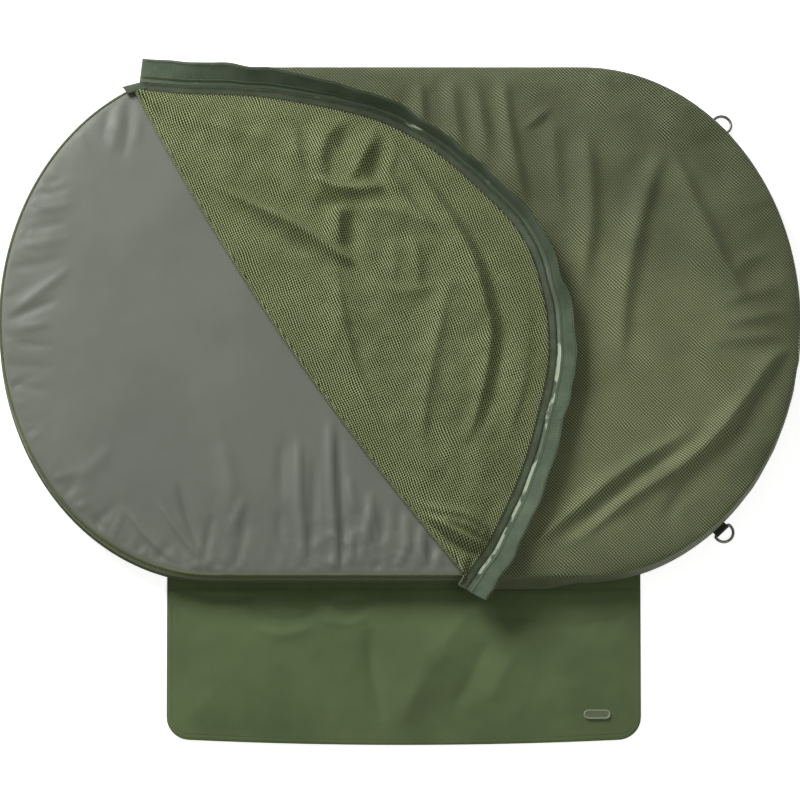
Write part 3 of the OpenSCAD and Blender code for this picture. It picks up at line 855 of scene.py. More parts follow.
FLAP_FOLDS = [
    ([(-240, 174), (-186, 147), (-121, 113), (-78, 82), (-58, 70)], 6, 5.5, -0.3),
    ([(-219, 140), (-162, 108), (-112, 82)], 11, -2.6, 0),
    ([(-250, 255), (-208, 244), (-158, 228)], 12, 2, -0.2),
    ([(-133, 251), (-129, 218), (-121, 190)], 9, 2.6, -0.3),
    ([(-35, 265), (-59, 247), (-74, 218)], 10, -4, 0),
    ([(-62, 262), (-88, 240), (-98, 210), (-92, 184)], 9, 3.4, -0.3),
    ([(-22, 257), (-41, 218), (-59, 182)], 8, 4.6, -0.3),
    ([(-16, 238), (-26, 205), (-36, 179)], 7, -4, 0),
    ([(-18, 268), (-10, 238), (-8, 212), (-15, 186), (10, 153), (52, 100)], 4, 2.6, 0.2),
    ([(-106, 181), (-68, 166), (-20, 170)], 6, 4.6, -0.2),
    ([(-104, 150), (-69, 145)], 9, -3.4, 0),
    ([(-73, 146), (-77, 121), (-73, 93)], 7, 4.4, -0.3),
    ([(-58, 140), (-56, 94)], 7, -4, 0),
    ([(-80, 66), (-71, 0), (-57, -62), (-36, -120), (-12, -174)], 9, 3.4, -0.4),
    ([(-14, 252), (15, 200), (58, 140), (92, 78), (109, 13), (116, -21), (106, -92), (88, -156)],
     9, 4.4, -0.35),
    ([(2, 244), (36, 192), (78, 132), (111, 76), (127, 13), (133, -24), (121, -92), (104, -150)],
     8, -2.4, 0),
    ([(128, 140), (156, 62), (163, -8), (157, -84), (138, -150)], 9, 3, -0.3),
    ([(62, 40), (46, -37), (34, -106), (30, -160)], 11, 2.6, -0.35),
    ([(20, 104), (23, 70), (24, 40)], 9, 2.6, -0.3),
    ([(-8, 100), (-6, 70), (-8, 44)], 8, 1.6, -0.3),
    ([(-40, 142), (1, 137), (50, 121)], 9, 2.2, -0.3),
    ([(-36, 48), (1, 33), (46, 39)], 10, 1.9, -0.3),
    ([(18, -240), (55, -252), (87, -258), (114, -276)], 6, 3.4, -0.3),
    ([(12, -250), (42, -262), (72, -280), (104, -295)], 7, 4.2, -0.5),
    ([(16, -262), (44, -274), (70, -294), (98, -306)], 4, -6, 0),
    ([(56, -262), (88, -272), (116, -286)], 3, 2, -0.3),
    ([(-72, 4), (-92, -69)], 8, 2, -0.3),
    ([(-30, -150), (20, -190), (60, -200)], 18, 1.6, 0),
    ([(-180, 200), (-150, 176), (-130, 160)], 14, 1.4, 0),
]
# The deepest that a hollow in the flap may be.
HOLLOWEST = 7.5


def fold_place(u):
    """Places along the fold line."""
    u = np.asarray(u)[..., None]
    return FOLD_REAR + FOLD_RUN * u + FOLD_SIDE * FOLD_BOW * 4 * u * (1 - u)


def beside_free_edge(x, y):
    """Distance from the free edge, above 0 outside the flap."""
    away, side, _ = nearest(x, y, spline(FREE_EDGE, np.linspace(0, 1, 33)))
    return away * side


def lies_on(x, y):
    """Height of the fixed mesh's middle, without its folds."""
    return pad_z(x, y) + MESH_LIFT


def cover_z(x, y):
    """Height of the fixed mesh, whose folds lie flat under the flap."""
    free = smooth((beside_free_edge(x, y) + 14) / 30)
    q = np.minimum(rim_share(x, y), 1)
    gathers = folds(x, y, FIXED_FOLDS, FIXED_FULLER) + rim_puckers(x, y, 90, 60, 6, 2.4, 21)
    loose = 1.3 * ripple(x, y, 110, 11) + 0.7 * ripple(x, y, 40, 12)
    return lies_on(x, y) + np.maximum(free * (gathers + loose + 0.8) * (1 - 0.55 * q**24), -1.1)


# Section of the mesh over the top piping and down the wall: distance outwards and height.
RIM_INSIDE = -7.0
RIM_SECTION = [
    (RIM_INSIDE, 41.4), (-3.5, 40.9), (0, 40.3), (2.2, 39.6), (4.1, 38.2), (4.9, 36.2), (4.9, 32.5),
    (5.0, 27), (5.1, 21), (5.0, 15), (4.7, 10), (4.2, 6.6),
]
# Share of the grid's rows that lie on the top, before the rim.
TOP_SHARE = 0.8
# How near to the rim the roll's foot may come, as a share of the way from the long axis.
FOOT_SHARE = 0.962


def skirt_flare(x, y):
    """How far the loose front hem stands out at its foot."""
    return np.where(y < 0, 8.0 * smooth((232 - x) / 55) * smooth((x - 92) / 16), 0)


def down_wall(v):
    """Share of the way from the rim to the hem."""
    return np.clip((v - TOP_SHARE) / (1 - TOP_SHARE), 0, 1)


def cover_points(u, v):
    """The fixed mesh: u runs round the sewn rim, v from the fold line, over the rim, to the hem."""
    s = SEWN_FROM - u * SEWN_RUN
    edge = fold_place(u) - FOLD_SIDE * ROLL_OUT
    edge = edge * np.minimum(1, FOOT_SHARE / rim_share(*edge.T))[:, None]
    inner = rim_at(s, RIM_INSIDE)
    across = np.clip(v / TOP_SHARE, 0, 1)[:, None]
    across = 1 - (1 - across) ** 1.15
    flat = edge * (1 - across) + inner * across
    z = cover_z(*flat.T)
    down = down_wall(v)
    out, drop = spline(RIM_SECTION, down).T
    depth = smooth((38 - drop) / 30)
    rim_place = rim.place(s)
    wave = 0.9 * ripple(s, drop * 0.4, 46, 31) + 0.5 * ripple(s, drop * 0.3, 19, 32)
    bump = 3.0 * np.exp(-(((rim_place[:, 1] + 8) / 16) ** 2)) * (rim_place[:, 0] > 0)
    out = out + depth * (wave * np.sin(np.pi * down) + bump)
    out = out + depth**1.5 * skirt_flare(*rim_place.T)
    lower = rim_at(s, out)
    inner_z = cover_z(*inner.T)
    drop = drop + (inner_z - RIM_SECTION[0][1]) * (1 - smooth(down / 0.3))
    over_rim = down > 0
    points = three(flat, z)
    points[over_rim] = three(lower, drop)[over_rim]
    return points


def cover_lay(u, v):
    """Cloth map of the fixed mesh: its plan, and beyond the rim the length down the wall."""
    points = cover_points(u, v)[:, :2]
    s = SEWN_FROM - u * SEWN_RUN
    down = down_wall(v)
    steps = np.linspace(0, 1, 60)
    run = distances(spline(RIM_SECTION, steps))
    unrolled = rim_at(s, RIM_INSIDE + np.interp(down, steps, run))
    return np.where((down > 0)[:, None], unrolled, points)


fixed_mesh = grid_piece("fixed_mesh", 290, 150, cover_points, cover_lay, MESH_T, flip=True)
add(fixed_mesh, "mat", FIXED_MESH, "mesh", "mesh_cover")


# ---------- edge band of the flap ----------

def edge_place(u):
    """Places along the flap's free edge."""
    return spline(FREE_EDGE, u)


def edge_inwards(u):
    """Square to the free edge, towards the flap."""
    d = edge_place(np.minimum(u + 0.01, 1)) - edge_place(np.maximum(u - 0.01, 0))
    d = d / np.linalg.norm(d, axis=-1, keepdims=True)
    return np.stack([d[..., 1], -d[..., 0]], axis=-1)


# Distances from the free edge at which the band's section is worked out.
BAND_STEPS = np.linspace(0, BAND_W, 87)
# Height of the band's foot over the mesh, and the length that its ripples are spread over.
BAND_FOOT, RIPPLE_RUN = 3.8, 900


def band_section(u, s):
    """How far in and how high a point of the band lies that is s from its free edge."""
    lean = np.radians(spline(LEANS, u))
    bend = smooth((WEBBING_W + 2 - BAND_STEPS) / 5)[None, :]
    leans = lean * (INNER_LEAN + (1 - INNER_LEAN) * bend)
    step = BAND_STEPS[1]
    inwards = np.cumsum(np.cos(leans), axis=1) * step
    up = np.cumsum(np.sin(leans)[:, ::-1], axis=1)[:, ::-1] * step
    at = np.clip(s / step, 0, len(BAND_STEPS) - 1.001)
    k, part = at.astype(int), at % 1
    row = np.arange(len(s))
    inwards = inwards[row, k] * (1 - part) + inwards[row, k + 1] * part
    up = up[row, k] * (1 - part) + up[row, k + 1] * part
    return inwards - step, up - np.sin(leans[:, -1]) * step


def band_points(u, s):
    s = s + 0 * u
    inwards, up = band_section(u, s)
    whole, _ = band_section(u, BAND_W + 0 * u)
    ends = smooth(u / 0.05) * smooth((1 - u) / 0.05)
    run = u * RIPPLE_RUN
    sway = 0.9 * ripple(run, 0 * u, 130, 41) + 0.035 * (BAND_W - s) * ripple(run, 0 * u, 45, 43)
    inner = edge_place(u) + edge_inwards(u) * whole[:, None]
    rest = pad_z(inner[:, 0], inner[:, 1]) + MESH_LIFT + BAND_FOOT
    flat = edge_place(u) + edge_inwards(u) * (inwards + ends * sway)[:, None]
    return three(flat, rest + up + 0.5 * ripple(run, s * 0.5, 60, 42))


BAND_LENGTH = Line(edge_place(np.linspace(0, 1, 200))).length


def band_strip(name, first, last, rows, finish, slot, node, thickness):
    """A strip of the band between two distances from its free edge."""
    piece = grid_piece(name, 420, rows, lambda u, v: band_points(u, first + (last - first) * v),
                       laid_flat(BAND_LENGTH, last - first), -thickness)
    return add(piece, "cover_flap", finish, slot, node)


webbing = band_strip("edge_webbing_tape", 0, WEBBING_W + 1, 12, WEBBING, "webbing",
                     "edge_webbing", TAPE_T)
hook_strip = band_strip("hook_tape_strip", WEBBING_W - 0.5, WEBBING_W + HOOK_W, 8, HOOK, "hook",
                        "hook_tape", 1.9)
binding = band_strip("flap_binding_tape", WEBBING_W + HOOK_W - 1, BAND_W, 8, BINDING,
                     "dark_webbing", "flap_binding", BINDING_T)


# The binding's end is turned round the rim and sewn down on the mat.
TONGUE_FROM, TONGUE_TO = rim_distance(-321, 307), rim_distance(-345, 297)
TONGUE_W = TONGUE_TO - TONGUE_FROM
TONGUE_SECTION = [(-8.5, 45.4), (-5, 45.0), (-1.5, 43.9), (1.8, 42.4), (4.6, 39.8), (5.9, 36.4),
                  (6.2, 33.6)]


def tongue_points(u, v):
    s = TONGUE_FROM + TONGUE_W * u
    out, z = spline(TONGUE_SECTION, v).T
    out = 0.85 * out - 0.6 + 5.5 * u
    return three(rim_at(s, out + 0.3 * ripple(s, v * 12, 16, 45)), z - 1.6 * u**2)


tongue = grid_piece("binding_end_tongue", 24, 20, tongue_points, laid_flat(TONGUE_W, 22), 1.3)
add(tongue, "mat", BINDING, "dark_webbing")


# ---------- folded-back flap ----------

# How far above the roll the flap lies in the open.
LOOSE_RISE = 4.5


def flap_points(u, v):
    """The flap's mesh: u runs along the fold line, v from it to the edge band."""
    edge = fold_place(u) - FOLD_SIDE * ROLL_OUT
    band = band_points(u, BAND_W - 2.0)
    flat = edge * (1 - v[:, None]) + band[:, :2] * v[:, None]
    x, y = flat.T
    risen = smooth(v * 3)
    settled = smooth((1 - v) * (4 + 6 * smooth((u - 0.8) * 8)))
    rest = lies_on(x, y) + ROLL_HIGH + LOOSE_RISE * risen
    creases = folds(x, y, FLAP_FOLDS, FLAP_FULLER)
    creases = creases + 1.5 * ripple(x, y, 90, 51) + 0.8 * ripple(x, y, 36, 52)
    creases = np.where(creases < 0, HOLLOWEST * np.tanh(creases / HOLLOWEST), creases)
    climb = band[:, 2] - (lies_on(*band[:, :2].T) + ROLL_HIGH + LOOSE_RISE)
    return three(flat, rest + creases * risen * settled + smooth((v - 0.6) / 0.4) * climb)


def flap_lay(u, v):
    """The flap's cloth map: its plan, turned over the fold line."""
    flat = flap_points(u, v)[:, :2]
    across = (flat - FOLD_REAR) @ FOLD_SIDE
    return flat + (-2 * across + math.pi * ROLL_OUT)[:, None] * FOLD_SIDE


flap = grid_piece("mesh_flap_cloth", 220, 110, flap_points, flap_lay, thickness=-MESH_T)
add(flap, "cover_flap", FLAP_MESH, "mesh", "mesh_flap")

# The roll joins them in short, nearly straight lengths.
ROLL_AT = [0, 0.012, 0.03, 0.055, 0.09, 0.14, 0.23, 0.38, 0.62, 0.78, 0.87, 0.92, 0.95, 0.972,
           0.988, 1]


def roll_base(u):
    """Foot of the roll, whose height runs straight between the ends of each length."""
    ends = fold_place(np.array(ROLL_AT)) - FOLD_SIDE * ROLL_OUT
    z = np.interp(u, ROLL_AT, lies_on(ends[:, 0], ends[:, 1]))
    return three(fold_place(u) - FOLD_SIDE * ROLL_OUT, z)


def make_roll(number, first, last):
    """One length of the roll, between two shares of the fold line."""
    def turn(v):
        return (v - 0.5) * math.pi

    def place(u, v):
        u = first + (last - first) * u
        points = roll_base(u)
        points[:, :2] += FOLD_SIDE * (ROLL_OUT * np.cos(turn(v)))[:, None]
        points[:, 2] += ROLL_HIGH * (1 + np.sin(turn(v))) / 2
        return points

    def lay(u, v):
        u = first + (last - first) * u
        across = math.pi * ROLL_OUT + ROLL_SPARE * (2 * u - 1) ** 2
        return fold_place(u) + FOLD_SIDE * (across * v - ROLL_OUT)[:, None]

    cols = max(2, round((last - first) * FOLD_LENGTH / 4))
    piece = grid_piece(f"fold_roll_{number:02d}", cols, 12, place, lay)
    add(piece, None, FLAP_MESH, "mesh")
    low, high = roll_base(np.array([first, last]))
    along = (high - low) / np.linalg.norm(high - low)
    up = np.array([0, 0, 1.0])
    square = up - along * along[2]
    square /= np.linalg.norm(square)
    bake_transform(piece)
    return piece


rolls = [make_roll(k + 1, ROLL_AT[k], ROLL_AT[k + 1]) for k in range(len(ROLL_AT) - 1)]


# ---------- D-ring tabs ----------

# A ring's place on the right end, in degrees from the long axis, and its bar's distance out.
RING_TURN, RING_REACH = 51.5, 10.0
# Height of the bar, and radius of the tab's loop round it.
BAR_Z, LOOP_R = 3.5, 2.7


def ring_frame(side):
    """Where a ring's tab is sewn in, on side 1 or -1, and the ways out and along the rim there."""
    t = math.radians(side * RING_TURN)
    out = np.array([math.cos(t) / END_L, math.sin(t) / HALF_W])
    out /= np.linalg.norm(out)
    return end_arc(1, side * RING_TURN), out, np.array([-out[1], out[0]])


def make_tab(name, side, node):
    """A short webbing loop round the ring's bar, with both ends sewn in at the base seam."""
    turns = np.radians(np.linspace(112, -112, 15))
    path = [(-4, SKIN + 1.7), (1, SKIN + 1.8), (4, BAR_Z + 0.9)]
    path += [(RING_REACH + LOOP_R * math.cos(a), BAR_Z + LOOP_R * math.sin(a)) for a in turns]
    path += [(4, 1.5), (1, SKIN + 0.5), (-4, SKIN + 0.5)]
    line = Line(path)
    at, out, along = ring_frame(side)

    def place(u, v):
        reach, z = line.place(u * line.length).T
        flat = at + out * reach[:, None] + along * ((v - 0.5) * TAB_W)[:, None]
        return three(flat, z)

    piece = grid_piece(name, 70, 10, place, laid_flat(line.length, TAB_W), 0.9)
    add(piece, "mat", TAB, "dark_webbing", node)


for end, side in (("rear", 1), ("front", -1)):
    make_tab(f"{end}_tab_loop", side, f"{end}_ring_tab")
    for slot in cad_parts[f"{end}_d_ring"].material_slots:
        slot.material = GUNMETAL


# ---------- kneeling flap ----------

KNEEL_BACK, KNEEL_FRONT = KNEEL_HIGH[1], KNEEL_LOW[1]
KNEEL_MID = (KNEEL_LOW[0] + KNEEL_HIGH[0]) / 2
KNEEL_HALF = (KNEEL_HIGH[0] - KNEEL_LOW[0]) / 2
# Radius of its front corners, and how far its front edge bows.
KNEEL_ROUND, KNEEL_BOW = 28, 8
# Height at which its two cloths meet, and how far in from there its hem is stitched.
KNEEL_EDGE_Z, HEM_IN = 1.6, 6.5
# How far the foam's top and the sewn hem lie below the flap's highest place.
KNEEL_PADDED = 5.4

# Broad waves of its upper cloth, listed as folds are.
KNEEL_WAVES = [
    ([(-190, -364), (-139, -372), (-98, -366)], 17, -7.0, 0),
    ([(-82, -357), (-59, -362), (-36, -357)], 13, -5.5, 0),
    ([(-260, -344), (-218, -348), (-176, -344)], 14, -4.0, 0),
    ([(-178, -392), (-146, -400), (-110, -390)], 9, 2.6, 0),
    ([(-94, -380), (-64, -385), (-38, -375)], 8, 2.2, 0),
    ([(-36, -390), (-34, -440), (-20, -512)], 17, -6.0, 0),
    ([(90, -366), (36, -446), (4, -512)], 26, 5.0, 0),
    ([(110, -410), (92, -450), (70, -490)], 16, -3.6, 0),
    ([(142, -426), (128, -455), (112, -485)], 17, 3.2, 0),
    ([(130, -374), (215, -384), (285, -376)], 26, -5.0, 0),
    ([(216, -420), (210, -460), (222, -500)], 34, 1.6, 0),
    ([(-240, -400), (-236, -450), (-226, -500)], 34, 1.4, 0),
]


def kneel_bow(x, half):
    """The bowed front edge, without its rounded corners."""
    return KNEEL_FRONT + KNEEL_BOW * ((x - KNEEL_MID) / half) ** 2


def kneel_front(x):
    """The rounded and bowed front edge."""
    corner = np.maximum(np.abs(x - KNEEL_MID) - (KNEEL_HALF - KNEEL_ROUND), 0)
    rounded = KNEEL_ROUND - np.sqrt(np.maximum(KNEEL_ROUND**2 - corner**2, 0))
    return kneel_bow(x, KNEEL_HALF) + rounded


def kneel_flat(u, v):
    """Places of the flap's cloths: u runs across it, v from its back edge to its front."""
    t = u - 0.5
    spread = np.sign(t) * (1 - (1 - 2 * np.abs(t)) ** 1.35)
    x = KNEEL_MID + KNEEL_HALF * spread
    return x, KNEEL_BACK + (kneel_front(x) - KNEEL_BACK) * (1 - (1 - v) ** 1.15)


def kneel_inside(x, y):
    """Distance in from the flap's sewn edge, which leaves out its back edge."""
    side = KNEEL_HALF - np.abs(x - KNEEL_MID)
    front = y - kneel_bow(x, KNEEL_HALF)
    a, b = (KNEEL_ROUND - np.minimum(reach, KNEEL_ROUND) for reach in (side, front))
    inside = np.where((a > 0) & (b > 0), KNEEL_ROUND - np.hypot(a, b), np.minimum(side, front))
    return np.maximum(inside, 0)


def kneel_within(x, y):
    """Distance in from the flap's outline, back edge and all."""
    return np.minimum(kneel_inside(x, y), KNEEL_BACK - y)


def kneel_cut(x, y):
    """Height of the kneeling flap's upper cloth as it is sewn, before it settles."""
    inside, ahead = kneel_inside(x, y), np.maximum(KNEEL_BACK - y, 0)
    z = KNEEL_EDGE_Z + 1.9 * np.sqrt(np.clip(np.minimum(inside / 3, ahead), 0, 1))
    padded = smooth((np.minimum(inside - HEM_IN, ahead) + 4) / 75) ** 0.7
    return z + (KNEEL_TOP - KNEEL_PADDED) * padded


KNEEL_GAIN = settle(
    "kneeler_settling", KNEEL_LOW[:2], KNEEL_HIGH[:2], cell=5,
    height=lambda x, y: kneel_cut(x, y) + 0.3 * ripple(x, y, 80, 61),
    sewn=lambda x, y: 1 - smooth((kneel_within(x, y) - HEM_IN) / 4),
    share=lambda x, y: 1 + 0 * x, growth=0.006, pressure=0.25, cap=5,
)


def kneel_z(x, y):
    """Height of the kneeling flap's upper cloth."""
    inside = kneel_inside(x, y)
    z = kneel_cut(x, y) - 0.22 * np.exp(-(((inside - HEM_IN) / 1.1) ** 2))
    loose = smooth((inside - HEM_IN) / 25) * smooth((KNEEL_BACK - y) / 18)
    waves = folds(x, y, KNEEL_WAVES) + 0.5 * ripple(x, y, 110, 61) + 0.15 * ripple(x, y, 30, 62)
    return np.clip(z + loose * (waves + 0.6 * KNEEL_GAIN(x, y)), 2.6, KNEEL_TOP + 3)


def kneel_top(u, v):
    x, y = kneel_flat(u, v)
    return columns(x, y, kneel_z(x, y))


def kneel_under(u, v):
    x, y = kneel_flat(u, v)
    inside = kneel_within(x, y)
    turned_up = KNEEL_EDGE_Z * (1 - np.clip(inside / 3, 0, 1)) ** 2
    return columns(x, y, np.where(inside > 0.01, turned_up, KNEEL_EDGE_Z))


kneel_pad = grid_piece("kneeler_cloth", 200, 84, kneel_top, thickness=SKIN, flip=True)
add(kneel_pad, "kneeler", KNEELER, "kneeler_fabric", "kneeler_top")
kneel_base = grid_piece("kneeler_underside", 160, 60, kneel_under, thickness=0.6)
add(kneel_base, "kneeler", BASE, "olive_fabric", "kneeler_base")


# ---------- hinge cloth ----------

HINGE_LOW, HINGE_HIGH = cad_box("kneeler_hinge_strip")
# Its section, from the mat's seam to where it passes into the kneeling flap's cloth.
HINGE_PATH = Line(
    [(HINGE_HIGH[1] + y, z) for y, z in ((-0.2, 2.3), (-0.9, 1.9), (-2.6, 1.8))]
    + [(KNEEL_BACK + y, z) for y, z in ((2.6, 2.4), (0.4, 3.2), (-1.8, 3.8), (-3.8, 4.0), (-6, 3.6),
                                        (-8, 3.0))]
)


def hinge_points(u, v):
    y, z = HINGE_PATH.place(v * HINGE_PATH.length).T
    x = HINGE_LOW[0] + (HINGE_HIGH[0] - HINGE_LOW[0]) * u
    round_end = HALF_W * (1 - np.sqrt(1 - rim_share(x, 0) ** 2))
    near_mat = np.clip((y - KNEEL_BACK - 2) / (HINGE_HIGH[1] - KNEEL_BACK - 2.2), 0, 1)
    return columns(x, y + round_end * near_mat + 0.2 * ripple(x, 0 * x, 60, 71), z)


hinge_cloth = grid_piece("kneeler_hinge_cloth", 160, 14, hinge_points, thickness=-0.7)
add(hinge_cloth, None, KNEELER, "olive_fabric", "kneeler_hinge_strip")
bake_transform(hinge_cloth)


# ---------- badge ----------

BADGE_LOW, BADGE_HIGH = cad_box("badge")
BADGE_MID = (BADGE_LOW + BADGE_HIGH) / 2
BADGE_R = (BADGE_HIGH[1] - BADGE_LOW[1]) / 2
BADGE_RUN = (BADGE_HIGH[0] - BADGE_LOW[0]) / 2 - BADGE_R
# Its section: distance in from the edge and height over its foot, from the middle outwards.
BADGE_SECTION = [(6.2, 0.75), (4.4, 0.75), (2.9, 0.75), (2.3, 0.8), (2.0, 1.25), (1.5, 1.4),
                 (0.9, 1.4), (0.4, 1.25), (0.1, 0.9), (0.0, 0.4), (0.0, -0.6)]
# How much of its turn goes to its straight sides.
BADGE_STRETCH = 1.6
BADGE_FOOT = float(kneel_z(*BADGE_MID[:2, None])[0]) + 0.25


def badge_points(u, v):
    inset, z = np.array(BADGE_SECTION)[np.round(v * (len(BADGE_SECTION) - 1)).astype(int)].T
    turn, r, k = u * math.tau, BADGE_R - inset, BADGE_STRETCH
    x = np.clip(np.cos(turn) * k, -1, 1)
    y = np.sin(turn)
    straight = np.abs(np.cos(turn)) * k < 1
    y = np.clip(np.where(straight, np.sign(y), y * k / math.sqrt(k**2 - 1)), -1, 1)
    round_x = np.where(straight, 0, np.sign(x) * np.sqrt(1 - y**2))
    return columns(BADGE_MID[0] + BADGE_RUN * x + r * round_x, BADGE_MID[1] + r * y, BADGE_FOOT + z)


badge = grid_piece("badge_pad", 96, len(BADGE_SECTION) - 1, badge_points, merge=True)
add(badge, "kneeler", BADGE, "badge_rubber", "badge")
badge.data.materials.append(BADGE_RIM)
for face in badge.data.polygons:
    if face.center.z > (BADGE_FOOT + 0.95) * MM:
        face.material_index = 1


# ---------- stitches ----------

def upwards(line, across):
    """Square to a line of points and to the cloth beside it."""
    up = np.cross(np.gradient(line, axis=0), across)
    up /= np.linalg.norm(up, axis=1)[:, None]
    return up * (np.sign(up[:, 2] + 1e-9)[:, None] if abs(up[:, 2]).mean() > 0.3 else 1)


# Radius of the thread.
THREAD_R = 0.32


def sewn_row(name, line, across, body, finish, slot, pitch=3.6):
    """A row of stitches: one thread that lies on the cloth and dips into it once a stitch."""
    run = distances(line)
    count = round(run[-1] / pitch)
    up = upwards(line, across)

    def at(values, s):
        return np.stack([np.interp(s, run, values[:, k]) for k in range(3)], axis=-1)

    def place(u, v):
        s = u * run[-1]
        a = v * math.tau
        part = np.abs((u * count + 0.5) % 1 - 0.5) * pitch
        lift = 0.5 * THREAD_R - 2.2 * THREAD_R * np.exp(-((part / 0.45) ** 2))
        return (at(line, s) + at(across, s) * (THREAD_R * np.cos(a))[:, None]
                + at(up, s) * (lift + THREAD_R * np.sin(a))[:, None])

    piece = grid_piece(name, count * 6, 5, place, laid_flat(run[-1], 1), merge=True)
    add(piece, body, finish, slot)


# Rows along the edge band, each with its distance from the free edge.
for name, s, top, finish, slot in (
    ("webbing_outer_stitches", 2.2, TAPE_T, THREAD, "webbing"),
    ("webbing_inner_stitches", 22.4, TAPE_T, THREAD, "webbing"),
    ("binding_outer_stitches", WEBBING_W + HOOK_W + 1.4, BINDING_T, DARK_THREAD, "dark_webbing"),
    ("binding_inner_stitches", BAND_W - 2.2, BINDING_T, DARK_THREAD, "dark_webbing"),
):
    u = np.linspace(0.004, 0.996, 500)
    line = band_points(u, s)
    across = band_points(u, s + 0.6) - line
    across /= np.linalg.norm(across, axis=1)[:, None]
    sewn_row(name, line + upwards(line, across) * top, across, "cover_flap", finish, slot)


def kneel_hem(inside):
    """Places along the kneeling flap's sides and front, that far in from its edge."""
    left, r = KNEEL_MID - KNEEL_HALF, KNEEL_ROUND
    centre_x, centre_y = left + r, KNEEL_FRONT + KNEEL_BOW + r
    turn = np.radians(np.linspace(180, 270, 16))
    corner = columns(centre_x + (r - inside) * np.cos(turn), centre_y + (r - inside) * np.sin(turn))
    side_y = np.linspace(KNEEL_BACK - inside, centre_y, 40)[:-1]
    left_half = np.vstack([columns(np.full(39, left + inside), side_y), corner])
    x = np.linspace(centre_x, 2 * KNEEL_MID - centre_x, 90)[1:-1]
    front = columns(x, kneel_bow(x, KNEEL_HALF - r) + inside)
    right_half = left_half[::-1] * (-1, 1) + (2 * KNEEL_MID, 0)
    return np.vstack([left_half, front, right_half])


hem_line = Line(kneel_hem(HEM_IN))
hem_s = np.linspace(0, hem_line.length, 900)
hem_flat = hem_line.place(hem_s)
sewn_row("kneeler_hem_stitches", three(hem_flat, kneel_z(*hem_flat.T)),
         three(hem_line.outwards(hem_s), 0), "kneeler", THREAD, "kneeler_fabric")


# ---------- foam ----------

# How far under the grey top's smooth shape the foam stays, clear of the deepest wrinkle.
FOAM_UNDER = 5.2


def foam_points(u, v):
    """The mat's foam: from the middle of its underside, up its wall, to the middle of its top."""
    share = np.where(v < 0.4, np.clip(v / 0.3, 0, 1), 1 - np.clip((v - 0.4) / 0.6, 0, 1))
    flat = disc(u, share, -2.0, crowd=1.3)
    low, high = SKIN + 0.8, pad_z(*flat.T) - FOAM_UNDER
    return three(flat, low + (high - low) * np.clip((v - 0.35) / 0.1, 0, 1))


foam = grid_piece("foam_block", 260, 60, foam_points, merge=True, flip=True)
add(foam, "mat", FOAM, "foam", "foam_core")


# The flap's depth as a share of its length, as its foam is cut.
FOAM_DEPTH = 0.335


def kneel_foam_top(u, v):
    margin = HEM_IN + 6
    middle = np.array([KNEEL_MID, (KNEEL_BACK + KNEEL_FRONT) / 2])
    size = 2 * KNEEL_HALF * np.array([1, FOAM_DEPTH])
    flat = middle + (columns(*kneel_flat(u, v)) - middle) * (1 - 2 * margin / size)
    padding = np.maximum(kneel_z(*flat.T) - KNEEL_PADDED, 0)
    return three(flat, 1.9 + padding * smooth((kneel_within(*flat.T) - margin) / 20))


kneel_foam = grid_piece("kneeler_foam_pad", 90, 40, kneel_foam_top, thickness=0.6)
add(kneel_foam, "kneeler", FOAM, "foam", "kneeler_foam")


# ---------- loop tape ----------

LOOP_LOW, LOOP_HIGH = cad_box("loop_tape")
LOOP_FROM = rim_distance(*end_arc(-1, np.array([64.3]))[0])
LOOP_TO = rim_distance(FOLD_FRONT[0], -HALF_W)
LOOP_RUN = LOOP_TO - LOOP_FROM


def loop_points(u, v, out=0.5):
    """Places on the wall's loop tape, or a little off it."""
    z = LOOP_LOW[2] + (LOOP_HIGH[2] - LOOP_LOW[2]) * v
    belly = WALL_BELLY * np.sin(np.pi * (z - SKIN) / (SEAM_Z - SKIN))
    return three(rim_at(LOOP_FROM + LOOP_RUN * u, belly + out), z)


loop_strip = grid_piece("loop_tape_strip", 420, 8, loop_points, laid_flat(LOOP_RUN, 24), -1.1)
add(loop_strip, "mat", LOOP, "loop", "loop_tape")
for name, v in (("loop_tape_upper_stitches", 0.91), ("loop_tape_lower_stitches", 0.09)):
    line = loop_points(np.linspace(0.002, 0.998, 1200), np.full(1200, v), out=1.65)
    sewn_row(name, line, np.broadcast_to([0.0, 0.0, 1.0], line.shape), "mat", DARK_THREAD, "loop",
             pitch=4.2)


# ---------- camera, light and floor ----------

PIXELS = 800
PX_PER_MM = 0.796
# Where the mat's middle lies in the frame, at the height of its top, in pixels and millimetres.
MIDDLE_X, MIDDLE_Y, MIDDLE_Z = 399, 320.5, 40
ELEVATION = math.radians(75)
CAMERA_AWAY, SENSOR = 20.0, 36.0


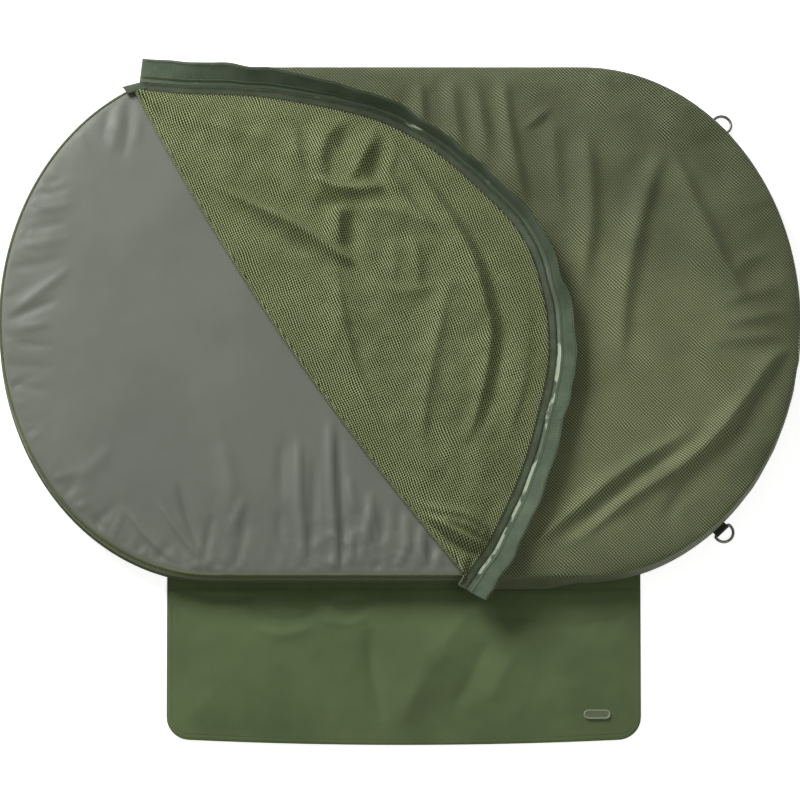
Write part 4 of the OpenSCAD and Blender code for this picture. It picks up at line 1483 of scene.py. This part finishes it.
def set_camera():
    data = bpy.data.cameras.new("camera")
    camera = in_scene("camera", data)
    width = PIXELS / PX_PER_MM * MM
    data.sensor_width = SENSOR
    data.lens = SENSOR * CAMERA_AWAY / width
    data.clip_end = 50
    aim = Vector((-(MIDDLE_X - PIXELS / 2) / PX_PER_MM,
                  (MIDDLE_Y - PIXELS / 2) / PX_PER_MM / math.sin(ELEVATION), MIDDLE_Z)) * MM
    back = Vector((0, -math.cos(ELEVATION), math.sin(ELEVATION)))
    camera.location = aim + back * CAMERA_AWAY
    camera.rotation_euler = back.to_track_quat("Z", "Y").to_euler()
    bpy.context.scene.camera = camera


def soft_light(name, place, size, watts):
    """A round light that looks at the mat's middle."""
    data = bpy.data.lights.new(name, "AREA")
    data.shape = "DISK"
    data.size = size
    data.energy = watts
    light = in_scene(name, data)
    light.location = place
    light.rotation_euler = Vector(place).to_track_quat("Z", "Y").to_euler()


# How much the floor glows, for the camera and in reflections only.
FLOOR_GLOW = 0.75


def set_stage():
    """A pale floor, which shows white to the camera and keeps the shadow, and an even sky."""
    bm = bmesh.new()
    bmesh.ops.create_grid(bm, x_segments=2, y_segments=2, size=4)
    floor = finish_mesh("floor", bm)
    floor.location.z = -0.0004
    f = Finish("pale_floor", roughness=0.9, Base_Color=(0.86, 0.86, 0.86, 1))
    path = f.node("LightPath").outputs
    seen = path["Is Camera Ray"]
    for other in ("Is Glossy Ray", "Is Transmission Ray"):
        seen = f.maths("MAXIMUM", seen, path[other])
    glow = f.node("Emission", {"Strength": f.maths("MULTIPLY", seen, FLOOR_GLOW)})
    both = f.node("AddShader", {0: f.shader.outputs[0], 1: glow.outputs[0]})
    f.feed(f.tree.nodes["Material Output"].inputs["Surface"], both.outputs[0])
    floor.data.materials.append(f.material)
    world = bpy.data.worlds.new("even_sky")
    world.use_nodes = True
    sky = world.node_tree.nodes["Background"].inputs
    sky["Color"].default_value = (1, 1, 1, 1)
    sky["Strength"].default_value = 0.2
    bpy.context.scene.world = world
    bpy.context.scene.view_settings.view_transform = "Standard"


set_camera()
set_stage()
soft_light("key", (-1.85, 2.15, 2.1), 1.8, 116)
soft_light("fill", (1.2, -1.6, 2.6), 2.0, 14)
